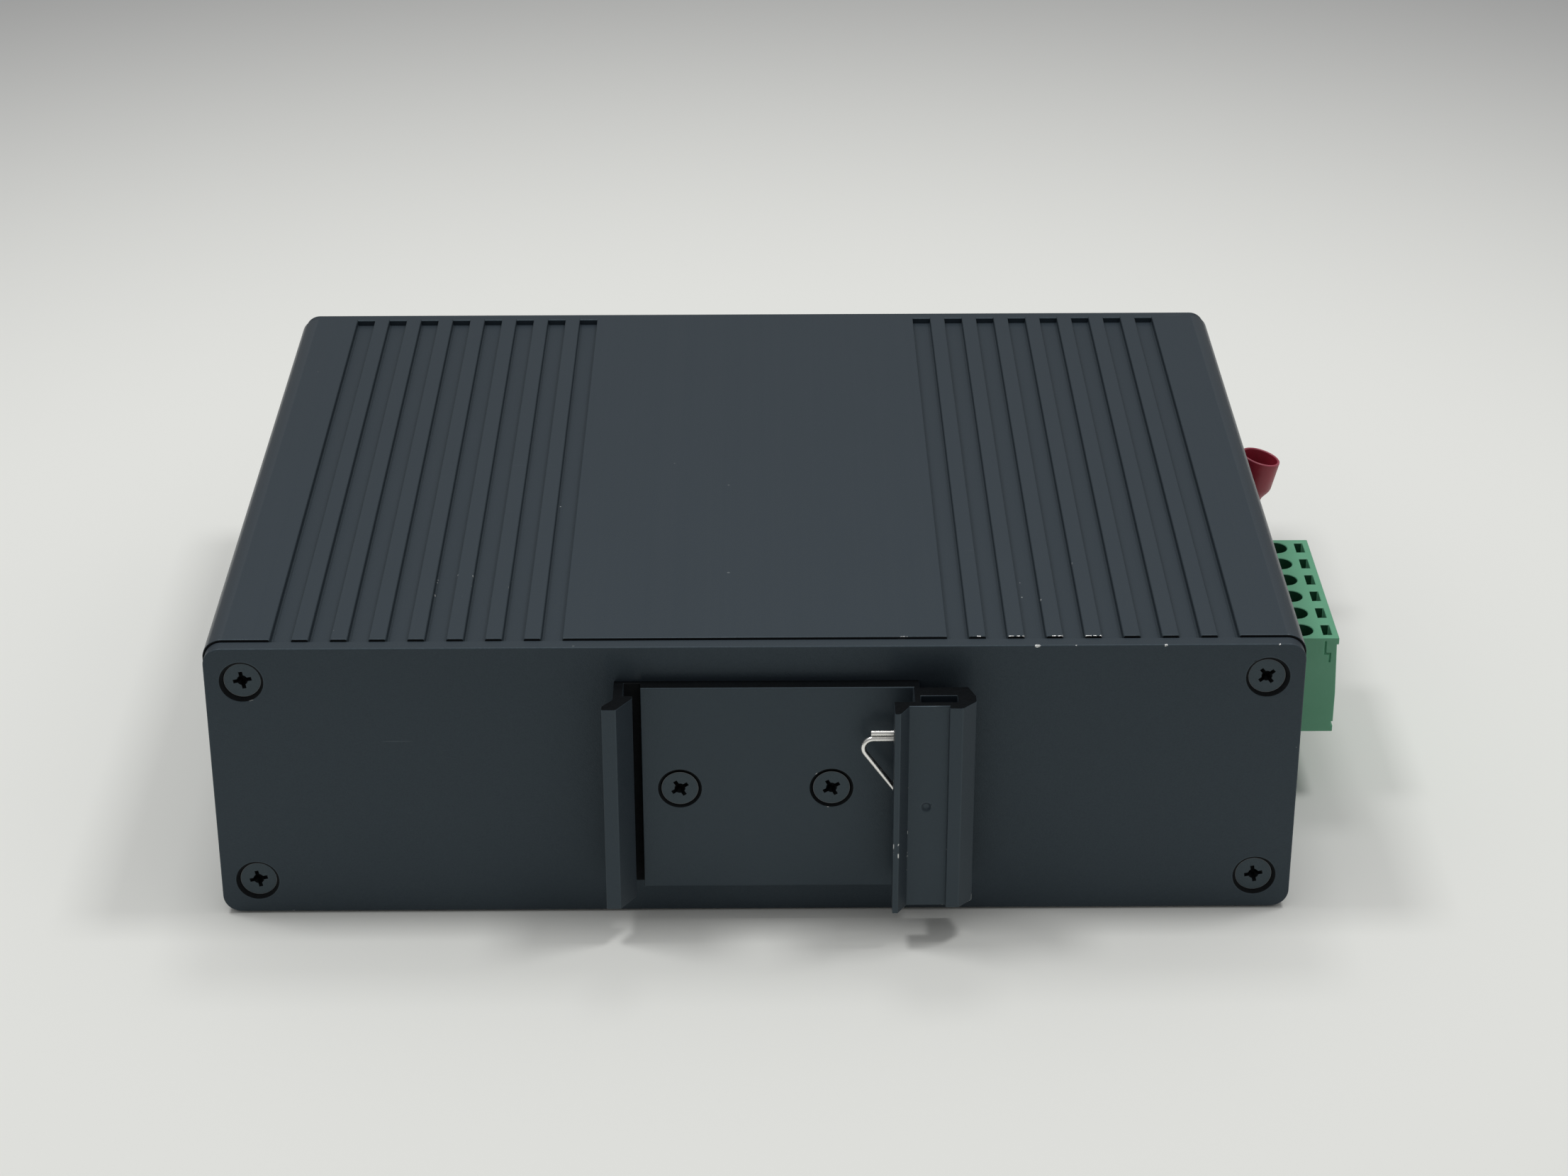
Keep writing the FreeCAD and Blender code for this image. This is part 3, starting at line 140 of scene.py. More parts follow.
def copyOfModel(model, name, place):
    piece = copyMesh(model, name)
    piece.data.transform(place)
    return piece


# Shades a piece so that only its soft edges bend the light, and applies all its modifiers
def evenOut(piece):
    evenShading = piece.modifiers.new("evenShading", "WEIGHTED_NORMAL")
    evenShading.keep_sharp = True
    applyModifiers(piece)


# The new edge faces take the material at edgeMaterial, or their neighbours' where it is -1
def softenEdges(piece, width, segments=2, angle=35, edgeMaterial=-1):
    workOn(piece)
    bpy.ops.object.shade_smooth_by_angle(angle=math.radians(angle))
    bevel = piece.modifiers.new("softEdges", "BEVEL")
    bevel.width = width
    bevel.segments = segments
    bevel.limit_method = "ANGLE"
    bevel.angle_limit = math.radians(angle)
    bevel.use_clamp_overlap = False
    bevel.material = edgeMaterial
    evenOut(piece)


def giveMaterials(piece, materials):
    for material in materials:
        piece.data.materials.append(material)


# Puts a finished piece on its body, for the node it stands for
def dress(piece, body, nodeName):
    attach(piece, body)
    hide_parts(nodeName)


# Shader node groups: masks that several finishes share

def isSocket(value):
    return isinstance(value, bpy.types.NodeSocket)


def addNode(tree, kind, settings=None, inputs=None):
    node = tree.nodes.new(kind)
    for name, value in (settings or {}).items():
        setattr(node, name, value)
    for name, value in (inputs or {}).items():
        if isSocket(value):
            tree.links.new(value, node.inputs[name])
        else:
            node.inputs[name].default_value = value
    return node


def calculate(tree, operation, first, second=0.0, third=0.0):
    return addNode(tree, "ShaderNodeMath", {"operation": operation}, {
        0: first, 1: second, 2: third}).outputs[0]


def newGroup(name, inputs, outputs):
    group = bpy.data.node_groups.new(name, "ShaderNodeTree")
    for label, kind, value in inputs:
        socket = group.interface.new_socket(label, in_out="INPUT", socket_type=kind)
        if value is not None:
            socket.default_value = value
    for label in outputs:
        group.interface.new_socket(label, in_out="OUTPUT", socket_type="NodeSocketFloat")
    return group, group.nodes.new("NodeGroupInput"), group.nodes.new("NodeGroupOutput")


# Fine grain over broad cloudy patches, each from 0 to 1
grainPattern = {
    "details": {"Grains": 3.0, "Patches": 4.0},
    "roughness": 0.6,
    "limits": (0.3, 0.7),
}


def makeGrainGroup():
    look = grainPattern
    group, given, result = newGroup(
        "fineGrain",
        [("Vector", "NodeSocketVector", None), ("Grains", "NodeSocketFloat", 4000.0),
         ("Patches", "NodeSocketFloat", 60.0)],
        ["Grain", "Patch"])
    for label, size in (("Grain", "Grains"), ("Patch", "Patches")):
        noise = addNode(group, "ShaderNodeTexNoise", None, {
            "Vector": given.outputs["Vector"], "Scale": given.outputs[size], "Detail": look["details"][size],
            "Roughness": look["roughness"]})
        low, high = look["limits"]
        spread = addNode(group, "ShaderNodeMapRange", None, {
            "Value": noise.outputs[0], "From Min": low, "From Max": high})
        group.links.new(spread.outputs[0], result.inputs[label])
    return group


# Small scattered spots; stretched coordinates turn them into scratches
def makeSpeckGroup():
    group, given, result = newGroup(
        "scatteredSpecks",
        [("Vector", "NodeSocketVector", None), ("Cells", "NodeSocketFloat", 300.0),
         ("Size", "NodeSocketFloat", 0.05), ("Share", "NodeSocketFloat", 0.2)],
        ["Mask"])
    cells = addNode(group, "ShaderNodeTexVoronoi", None, {
        "Vector": given.outputs["Vector"], "Scale": given.outputs["Cells"]})
    chance = addNode(group, "ShaderNodeSeparateColor", None, {"Color": cells.outputs["Color"]})
    reach = calculate(group, "MULTIPLY", chance.outputs["Green"], given.outputs["Size"])
    inside = calculate(group, "LESS_THAN", cells.outputs["Distance"], reach)
    chosen = calculate(group, "LESS_THAN", chance.outputs["Red"], given.outputs["Share"])
    mask = calculate(group, "MULTIPLY", inside, chosen)
    strength = calculate(group, "MULTIPLY", mask, chance.outputs["Blue"])
    group.links.new(strength, result.inputs["Mask"])
    return group


# Places along an edge where the coat has gone: more of them as the bareness rises
chipPattern = {
    "fineDetail": 4.0,
    "broadDetail": 2.0,
    "limit": 0.5,
    "sharpness": 30.0,
}


def makeChipGroup():
    look = chipPattern
    group, given, result = newGroup(
        "edgeChips",
        [("Vector", "NodeSocketVector", None), ("Chips", "NodeSocketFloat", 700.0),
         ("Clusters", "NodeSocketFloat", 45.0), ("Bareness", "NodeSocketFloat", 0.4)],
        ["Mask"])
    fine = addNode(group, "ShaderNodeTexNoise", None, {
        "Vector": given.outputs["Vector"], "Scale": given.outputs["Chips"], "Detail": look["fineDetail"]})
    broad = addNode(group, "ShaderNodeTexNoise", None, {
        "Vector": given.outputs["Vector"], "Scale": given.outputs["Clusters"], "Detail": look["broadDetail"]})
    both = calculate(group, "MULTIPLY", fine.outputs[0], broad.outputs[0])
    level = calculate(group, "SUBTRACT", look["limit"], given.outputs["Bareness"])
    over = calculate(group, "SUBTRACT", both, level)
    sharp = calculate(group, "MULTIPLY", over, look["sharpness"])
    held = addNode(group, "ShaderNodeClamp", None, {"Value": sharp})
    group.links.new(held.outputs[0], result.inputs["Mask"])
    return group


# One knock at a place of its own, with a ragged outline
knockPattern = {
    "scale": 3800.0,
    "detail": 2.0,
}


def makeKnockGroup():
    look = knockPattern
    group, given, result = newGroup(
        "singleKnock",
        [("Vector", "NodeSocketVector", None), ("Place", "NodeSocketVector", None),
         ("Reach", "NodeSocketFloat", 0.3 * mm), ("Raggedness", "NodeSocketFloat", 0.4 * mm)],
        ["Mask"])
    away = addNode(group, "ShaderNodeVectorMath", {"operation": "DISTANCE"}, {
        0: given.outputs["Vector"], 1: given.outputs["Place"]}).outputs["Value"]
    noise = addNode(group, "ShaderNodeTexNoise", None, {
        "Vector": given.outputs["Vector"], "Scale": look["scale"], "Detail": look["detail"]})
    centred = calculate(group, "SUBTRACT", noise.outputs[0], 0.5)
    wobble = calculate(group, "MULTIPLY", centred, given.outputs["Raggedness"])
    outline = calculate(group, "ADD", away, wobble)
    inside = calculate(group, "LESS_THAN", outline, given.outputs["Reach"])
    group.links.new(inside, result.inputs["Mask"])
    return group


grainGroup = makeGrainGroup()
speckGroup = makeSpeckGroup()
chipGroup = makeChipGroup()
knockGroup = makeKnockGroup()


# Building materials

# A Mix node names its sockets alike for each kind of value, so they go by number
mixSockets = {
    "mask": 0,
    "firstValue": 2,
    "secondValue": 3,
    "firstColor": 6,
    "secondColor": 7,
    "mixedColor": 2,
}


def placeGroup(tree, group, inputs):
    return addNode(tree, "ShaderNodeGroup", {"node_tree": group}, inputs)


# The first value where the mask is 0 and the second where it is 1
def blendValues(tree, mask, first, second):
    m = mixSockets
    return addNode(tree, "ShaderNodeMix", None, {
        m["mask"]: mask, m["firstValue"]: first, m["secondValue"]: second}).outputs[0]


def blendColors(tree, mask, first, second):
    m = mixSockets
    first, second = [color if isSocket(color) else (*color, 1.0) for color in (first, second)]
    return addNode(tree, "ShaderNodeMix", {"data_type": "RGBA"}, {
        m["mask"]: mask, m["firstColor"]: first, m["secondColor"]: second}).outputs[m["mixedColor"]]


def between(tree, mask, low, high):
    return addNode(tree, "ShaderNodeMapRange", None, {
        "Value": mask, "To Min": low, "To Max": high}).outputs[0]


def newMaterial(name, sockets=None):
    material = bpy.data.materials.new(name)
    material.use_nodes = True
    tree = material.node_tree
    shader = tree.nodes["Principled BSDF"]
    for socket, value in (sockets or {}).items():
        shader.inputs[socket].default_value = value
    place = tree.nodes.new("ShaderNodeTexCoord").outputs["Object"]
    return material, tree, shader, place


def addBump(tree, shader, height, distance):
    bump = addNode(tree, "ShaderNodeBump", None, {"Height": height, "Distance": distance})
    tree.links.new(bump.outputs[0], shader.inputs["Normal"])


# Coordinates turned about Z and stretched, so that spots become streaks
def turned(tree, place, angle, stretch):
    return addNode(tree, "ShaderNodeMapping", None, {
        "Vector": place, "Rotation": (0.0, 0.0, math.radians(angle)), "Scale": stretch}).outputs[0]


# Finishes of the case: matt black coat, with bare metal where its edges are chipped, and a painted highlight
# in the lighter colours of its soft edges

coatLook = {
    "dark": (0.0054, 0.0084, 0.0136),
    "light": (0.0080, 0.0116, 0.0178),
    "roughness": (0.56, 0.68),
    "sheen": {"Specular IOR Level": 0.84, "Specular Tint": (0.68, 0.88, 1.0, 1.0), "Coat Weight": 0.08,
              "Coat Roughness": 0.14},
    "grains": 5200.0,
    "patches": 55.0,
    "grainShare": 0.6,
    "grainHeight": 0.012 * mm,
    "dieLines": 0.0,
    "lineGrains": 1500.0,
    "linePatches": 260.0,
    "lineStretch": (1.0, 0.006, 1.0),
    "dust": (0.36, 0.38, 0.37),
    "dustCells": 260.0,
    "dustSize": 0.055,
    "dustShare": 0.16,
    "scratch": (0.055, 0.062, 0.070),
    "scratchWays": ((28.0, 22.0), (-41.0, 17.0)),  # degrees and cells to the metre
    "scratchStretch": (1.0, 42.0, 42.0),
    "scratchSize": 0.10,
    "scratchShare": 0.10,
    "worn": 0.0,
    "bareMetal": (0.62, 0.63, 0.62),
    "bareRoughness": 0.30,
}
# The soft edges' colours are lighter than the faces': a painted highlight. Their chips and knocks are real
# wear
edgeWearAndHighlightLook = dict(coatLook, dark=(0.010, 0.015, 0.021), light=(0.016, 0.023, 0.030), dustShare=0.10, worn=0.06)
extrudedLook = dict(coatLook, dieLines=0.5)
roundLook = dict(extrudedLook, sheen=dict(coatLook["sheen"], **{"Coat Weight": 0.34, "Coat Roughness": 0.12}))
clipLook = dict(coatLook, roughness=(0.50, 0.60), grainHeight=0.008 * mm, dustShare=0.22)
# The clip's edges keep the same lighter painted highlight and real chips
clipEdgeWearAndHighlightLook = dict(edgeWearAndHighlightLook, roughness=(0.50, 0.60), grainHeight=0.008 * mm, worn=0.07)

# Knocks on the lands' near ends and on the plate's upper edge: place along X and reach, in millimetres
landKnocks = {
    "y": -53.15 * mm,
    "z": 39.33 * mm,
    "spots": [(28.35, 0.26), (32.45, 0.30), (33.35, 0.24), (34.10, 0.20), (37.85, 0.24), (38.70, 0.34),
              (42.20, 0.36), (43.05, 0.20), (43.85, 0.26)],
}
plateKnocks = {
    "y": -55.20 * mm,
    "z": 39.06 * mm,
    "spots": [(35.55, 0.24), (35.85, 0.18), (40.50, 0.10), (51.85, 0.17), (66.20, 0.11)],
}


# Faint lines along Y that the extrusion die leaves, in the finish and in the colour
def addDieLines(tree, place, look, finish, color):
    lines = placeGroup(tree, grainGroup, {
        "Vector": turned(tree, place, 0.0, look["lineStretch"]), "Grains": look["lineGrains"],
        "Patches": look["linePatches"]})
    finish = blendValues(tree, look["dieLines"], finish, lines.outputs["Patch"])
    faint = calculate(tree, "MULTIPLY", lines.outputs["Grain"], look["dieLines"])
    return finish, blendColors(tree, faint, color, look["light"])


# Dust that lies on the coat, and fine scratches in two directions
def addDustAndScratches(tree, place, look, color):
    dust = placeGroup(tree, speckGroup, {
        "Vector": place, "Cells": look["dustCells"], "Size": look["dustSize"], "Share": look["dustShare"]})
    color = blendColors(tree, dust.outputs["Mask"], color, look["dust"])
    for angle, cells in look["scratchWays"]:
        scratches = placeGroup(tree, speckGroup, {
            "Vector": turned(tree, place, angle, look["scratchStretch"]), "Cells": cells,
            "Size": look["scratchSize"], "Share": look["scratchShare"]})
        color = blendColors(tree, scratches.outputs["Mask"], color, look["scratch"])
    return color


# Where the coat has gone: chance chips, and the knocks at their places
def bareMask(tree, place, look, knockRows):
    bare = 0.0
    if look["worn"]:
        bare = placeGroup(tree, chipGroup, {"Vector": place, "Bareness": look["worn"]}).outputs["Mask"]
    for row in knockRows:
        for x, reach in row["spots"]:
            knock = placeGroup(tree, knockGroup, {
                "Vector": place, "Place": (x * mm, row["y"], row["z"]), "Reach": reach * mm})
            bare = calculate(tree, "MAXIMUM", bare, knock.outputs["Mask"])
    return bare


def makeCoat(name, look, knockRows=()):
    material, tree, shader, place = newMaterial(name, look["sheen"])
    grain = placeGroup(tree, grainGroup, {
        "Vector": place, "Grains": look["grains"], "Patches": look["patches"]})
    finish = grain.outputs["Grain"]
    clouds = calculate(tree, "MULTIPLY", grain.outputs["Patch"], 1.0 - look["grainShare"])
    mottle = calculate(tree, "MULTIPLY_ADD", finish, look["grainShare"], clouds)
    color = blendColors(tree, mottle, look["dark"], look["light"])
    if look["dieLines"]:
        finish, color = addDieLines(tree, place, look, finish, color)
    color = addDustAndScratches(tree, place, look, color)
    roughness = between(tree, finish, *look["roughness"])
    if look["worn"] or knockRows:
        bare = bareMask(tree, place, look, knockRows)
        color = blendColors(tree, bare, color, look["bareMetal"])
        roughness = blendValues(tree, bare, roughness, look["bareRoughness"])
        tree.links.new(bare, shader.inputs["Metallic"])
    tree.links.new(color, shader.inputs["Base Color"])
    tree.links.new(roughness, shader.inputs["Roughness"])
    addBump(tree, shader, grain.outputs["Grain"], look["grainHeight"])
    return material


blackCoat = makeCoat("blackCoat", coatLook, (plateKnocks,))
extrudedCoat = makeCoat("extrudedCoat", extrudedLook)
blackCoatEdgeWearAndHighlight = makeCoat("blackCoatEdgeWearAndHighlight", edgeWearAndHighlightLook, (landKnocks, plateKnocks))
blackCoatRound = makeCoat("blackCoatRound", roundLook)
clipCoat = makeCoat("clipCoat", clipLook)
clipCoatEdgeWearAndHighlight = makeCoat("clipCoatEdgeWearAndHighlight", clipEdgeWearAndHighlightLook)


# Other finishes, each from a dark and a light colour and the limits of its roughness

# A plastic, metal or ceramic finish with fine grain and slight cloudiness
def makePlainFinish(name, dark, light, roughness, grains=3000.0, patches=80.0, height=0.004 * mm,
                    sockets=None, stretch=None):
    material, tree, shader, place = newMaterial(name, sockets)
    pattern = turned(tree, place, 0.0, stretch) if stretch else place
    grain = placeGroup(tree, grainGroup, {"Vector": pattern, "Grains": grains, "Patches": patches})
    color = blendColors(tree, grain.outputs["Patch"], dark, light)
    tree.links.new(color, shader.inputs["Base Color"])
    tree.links.new(between(tree, grain.outputs["Grain"], *roughness), shader.inputs["Roughness"])
    addBump(tree, shader, grain.outputs["Grain"], height)
    return material


# Metal with fine lines across the stretched axis, as it is drawn, rolled or sawn
def makeDrawnMetal(name, dark, light, roughness, stretch, height=0.003 * mm):
    return makePlainFinish(name, dark, light, roughness, grains=2600.0, patches=90.0, height=height,
                           sockets={"Metallic": 1.0}, stretch=stretch)


blackZinc = makePlainFinish("blackZinc", (0.0075, 0.0115, 0.0145), (0.0120, 0.0165, 0.0200), (0.42, 0.56),
                            grains=5000.0, patches=700.0, height=0.006 * mm, sockets=coatLook["sheen"])
# The screw heads' soft edges are lighter and glossier: a painted highlight on the rim
blackZincEdgeHighlight = makePlainFinish("blackZincEdgeHighlight", (0.030, 0.035, 0.038), (0.060, 0.066, 0.070), (0.30, 0.42),
                                grains=5000.0, patches=900.0, height=0.006 * mm,
                                sockets={"Specular IOR Level": 0.90})
# Near-black painted shade for the clip's sawn upper end
paintedShadeCutEnd = makePlainFinish("paintedShadeCutEnd", (0.0008, 0.0016, 0.0024), (0.0018, 0.0030, 0.0042), (0.66, 0.84),
                         grains=2400.0, patches=900.0, height=0.02 * mm, sockets={"Specular IOR Level": 0.10})
# Near-black painted shadow for screw seats, screw recesses, the case's cut ends and the clip's undercut
seamShadow = makePlainFinish("seamShadow", (0.0016, 0.0026, 0.0036), (0.0030, 0.0044, 0.0058), (0.70, 0.85),
                             patches=300.0, sockets={"Specular IOR Level": 0.20})
springSteel = makeDrawnMetal("springSteel", (0.84, 0.83, 0.80), (0.95, 0.94, 0.91), (0.24, 0.34),
                             (6.0, 1.0, 1.0), height=0.001 * mm)
greenPlastic = makePlainFinish("greenPlastic", (0.112, 0.360, 0.210), (0.132, 0.395, 0.238), (0.36, 0.50),
                               grains=2500.0, patches=120.0, height=0.006 * mm)
# Dark green painted shade for the plug's hollows
paintedShadeGreen = makePlainFinish("paintedShadeGreen", (0.010, 0.085, 0.038), (0.016, 0.110, 0.052), (0.55, 0.70),
                              patches=200.0)
tinPlate = makeDrawnMetal("tinPlate", (0.66, 0.67, 0.68), (0.80, 0.80, 0.79), (0.22, 0.36), (1.0, 8.0, 1.0))
clampSteel = makeDrawnMetal("clampSteel", (0.52, 0.53, 0.53), (0.68, 0.68, 0.67), (0.28, 0.44),
                            (1.0, 5.0, 1.0))
zincSteel = makePlainFinish("zincSteel", (0.55, 0.56, 0.57), (0.72, 0.72, 0.70), (0.24, 0.40),
                            patches=260.0, sockets={"Metallic": 1.0})
tinnedCopper = makePlainFinish("tinnedCopper", (0.62, 0.61, 0.59), (0.76, 0.75, 0.73), (0.26, 0.42),
                               patches=300.0, sockets={"Metallic": 1.0})
redPlastic = makePlainFinish("redPlastic", (0.235, 0.012, 0.026), (0.290, 0.017, 0.036), (0.34, 0.46),
                             patches=200.0)
# A lighter pink on the sleeve's rolled rim: a painted highlight
redRimHighlight = makePlainFinish("redRimHighlight", (0.330, 0.055, 0.085), (0.400, 0.075, 0.110), (0.30, 0.42), patches=300.0)
jackPlastic = makePlainFinish("jackPlastic", (0.012, 0.012, 0.013), (0.020, 0.020, 0.022), (0.40, 0.55))
nickelSheet = makeDrawnMetal("nickelSheet", (0.62, 0.61, 0.58), (0.74, 0.73, 0.70), (0.24, 0.38),
                             (8.0, 1.0, 1.0))
goldPlate = makeDrawnMetal("goldPlate", (0.83, 0.60, 0.26), (0.92, 0.70, 0.34), (0.18, 0.30), (1.0, 8.0, 1.0))
socketPlastic = makePlainFinish("socketPlastic", (0.016, 0.015, 0.015), (0.026, 0.025, 0.025), (0.44, 0.58))
holderPlastic = makePlainFinish("holderPlastic", (0.014, 0.014, 0.015), (0.022, 0.022, 0.023), (0.45, 0.60))
chipPlastic = makePlainFinish("chipPlastic", (0.018, 0.018, 0.019), (0.030, 0.030, 0.031), (0.50, 0.66))
padRubber = makePlainFinish("padRubber", (0.20, 0.21, 0.22), (0.27, 0.28, 0.29), (0.62, 0.78), patches=300.0)
sinkAnodise = makeDrawnMetal("sinkAnodise", (0.030, 0.031, 0.033), (0.050, 0.051, 0.054), (0.40, 0.55),
                             (1.0, 9.0, 1.0))
canSleeve = makePlainFinish("canSleeve", (0.030, 0.040, 0.075), (0.045, 0.058, 0.100), (0.26, 0.38))
ferriteGrey = makePlainFinish("ferriteGrey", (0.055, 0.055, 0.057), (0.085, 0.084, 0.086), (0.50, 0.70),
                              grains=2200.0, patches=400.0, height=0.02 * mm)
coilTape = makePlainFinish("coilTape", (0.62, 0.46, 0.10), (0.74, 0.56, 0.15), (0.28, 0.42), patches=240.0)
varistorEpoxy = makePlainFinish("varistorEpoxy", (0.030, 0.085, 0.300), (0.045, 0.115, 0.370), (0.26, 0.40),
                                patches=420.0, height=0.02 * mm)
crystalCan = makeDrawnMetal("crystalCan", (0.66, 0.66, 0.66), (0.78, 0.78, 0.77), (0.22, 0.34),
                            (1.0, 7.0, 1.0))

# Clear moulded lens with a faint moulding haze
lensLook = {
    "dark": (0.90, 0.92, 0.90),
    "light": (0.97, 0.98, 0.97),
    "roughness": (0.10, 0.20),
    "grains": 1800.0,
    "patches": 260.0,
    "glass": {"Transmission Weight": 0.55, "IOR": 1.49},
}


def makeLampLens():
    look = lensLook
    material, tree, shader, place = newMaterial("lampLens", look["glass"])
    grain = placeGroup(tree, grainGroup, {
        "Vector": place, "Grains": look["grains"], "Patches": look["patches"]})
    color = blendColors(tree, grain.outputs["Patch"], look["dark"], look["light"])
    tree.links.new(color, shader.inputs["Base Color"])
    tree.links.new(between(tree, grain.outputs["Grain"], *look["roughness"]), shader.inputs["Roughness"])
    return material


# Green solder mask over copper tracks and scattered vias
boardLook = {
    "dark": (0.008, 0.085, 0.030),
    "light": (0.014, 0.120, 0.045),
    "roughness": (0.30, 0.42),
    "grains": 1500.0,
    "patches": 60.0,
    "overTrack": (0.020, 0.190, 0.070),
    "trackLayout": {"offset": 0.37, "squash": 0.6},
    "trackScale": 160.0,
    "trackWidth": 0.055,
    "trackHeight": 0.02 * mm,
    "via": (0.62, 0.52, 0.30),
    "viaCells": 330.0,
    "viaSize": 0.30,
    "viaShare": 0.18,
}


def makeBoardLaminate():
    look = boardLook
    material, tree, shader, place = newMaterial("boardLaminate")
    grain = placeGroup(tree, grainGroup, {
        "Vector": place, "Grains": look["grains"], "Patches": look["patches"]})
    color = blendColors(tree, grain.outputs["Patch"], look["dark"], look["light"])
    black, white = (0.0, 0.0, 0.0, 1.0), (1.0, 1.0, 1.0, 1.0)
    tracks = addNode(tree, "ShaderNodeTexBrick", look["trackLayout"], {
        "Vector": place, "Scale": look["trackScale"], "Mortar Size": look["trackWidth"], "Mortar Smooth": 0.0,
        "Color1": black, "Color2": black, "Mortar": white}).outputs["Color"]
    color = blendColors(tree, tracks, color, look["overTrack"])
    vias = placeGroup(tree, speckGroup, {
        "Vector": place, "Cells": look["viaCells"], "Size": look["viaSize"], "Share": look["viaShare"]})
    color = blendColors(tree, vias.outputs["Mask"], color, look["via"])
    tree.links.new(color, shader.inputs["Base Color"])
    tree.links.new(between(tree, grain.outputs["Grain"], *look["roughness"]), shader.inputs["Roughness"])
    addBump(tree, shader, tracks, look["trackHeight"])
    return material


lampLens = makeLampLens()
boardLaminate = makeBoardLaminate()
print("finishes made:", len(bpy.data.materials))


# Countersunk screws with a cross recess, modelled once for each node and copied to each hole

screwShape = {
    "headRadius": 2.42 * mm,
    "shankRadius": 1.5 * mm,
    "tipChamfer": 0.4 * mm,
    "sides": 48,
    "edgeRound": 0.10 * mm,
    "edgeSegments": 3,
    "smoothAngle": 38.0,
    "recessLength": 2.50 * mm,
    "recessWidth": 0.52 * mm,
    "recessDepth": 1.20 * mm,
    "recessTaper": (0.42, 0.8),  # its foot's share of its length and of its width
    "coreRadius": 0.76 * mm,
    "coreFoot": 0.2 * mm,
    "coreSides": 24,
    "cutAbove": 0.05 * mm,
    "nearRecess": 0.1 * mm,
    "topSkin": 0.01 * mm,
}
seatShape = {
    "headRadius": 2.45 * mm,
    "reach": 2.86 * mm,
    "slope": 0.93,
}
# Settings are each screw's turn in degrees, then how far it sits off its hole along X and Z in millimetres
screwSets = {
    "back_plate_screws": {
        "pieces": "backPlateScrew", "slot": "plate_screw", "length": 10.0 * mm, "towardsBack": True,
        "raised": 0.0,
        "settings": ((12, 0.10, 0.10), (10, -0.06, 0.08), (10, 0.12, 0.12), (38, -0.12, 0.04)),
    },
    "front_plate_screws": {
        "pieces": "frontPlateScrew", "slot": "plate_screw", "length": 10.0 * mm, "towardsBack": False,
        "raised": 0.0,
        "settings": ((5, 0.05, 0.04), (30, -0.08, 0.02), (62, 0.04, -0.06), (20, 0.0, 0.08)),
    },
    "rail_clip_screws": {
        "pieces": "railClipScrew", "slot": "clip_screw", "length": 5.0 * mm, "towardsBack": True,
        "raised": 0.22 * mm,
        "settings": ((33, 0.0, 0.0), (31, 0.0, 0.0)),
    },
}


# Where the heads of a node's screws are, row by row
def headPlaces(nodeName):
    low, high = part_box(nodeName)
    radius = seatShape["headRadius"]
    lowRow, highRow = low.z + radius, high.z - radius
    rows = [lowRow, highRow] if highRow - lowRow > radius else [lowRow]
    return [(x, z) for z in rows for x in (low.x + radius, high.x - radius)]


# True for the sloping and round faces of the countersunk holes
def isScrewSeat(middle, normal, heads):
    near = any(math.hypot(middle.x - x, middle.z - z) < seatShape["reach"] for x, z in heads)
    return near and abs(normal.y) < seatShape["slope"]


def cutWith(piece, cutter):
    workOn(piece)
    boolean = piece.modifiers.new("cut", "BOOLEAN")
    boolean.operation = "DIFFERENCE"
    boolean.solver = "EXACT"
    boolean.object = cutter
    applyModifiers(piece)
    bpy.data.objects.remove(cutter)


# Cuts two crossed wedges that narrow downwards, and a slightly deeper cone between them
def cutRecess(screw):
    s = screwShape
    depth = s["recessDepth"]
    middle = (0.0, 0.0, s["cutAbove"] - depth / 2)
    longTaper, wideTaper = s["recessTaper"]
    for turn in (0.0, 90.0):
        bpy.ops.mesh.primitive_cube_add(size=1.0, location=middle)
        wedge = bpy.context.object
        wedge.scale = (s["recessLength"], s["recessWidth"], depth + 2 * s["cutAbove"])
        placeInMesh(wedge)
        selectFaces(wedge, lambda middle, normal: normal.z < -facing)
        bpy.ops.transform.resize(value=(longTaper, wideTaper, 1.0))
        bpy.ops.object.mode_set(mode="OBJECT")
        wedge.rotation_euler.z = math.radians(turn)
        placeInMesh(wedge)
        cutWith(screw, wedge)
    bpy.ops.mesh.primitive_cone_add(vertices=s["coreSides"], radius1=s["coreFoot"], radius2=s["coreRadius"],
                                    depth=depth + 4 * s["cutAbove"], location=middle)
    cutWith(screw, bpy.context.object)


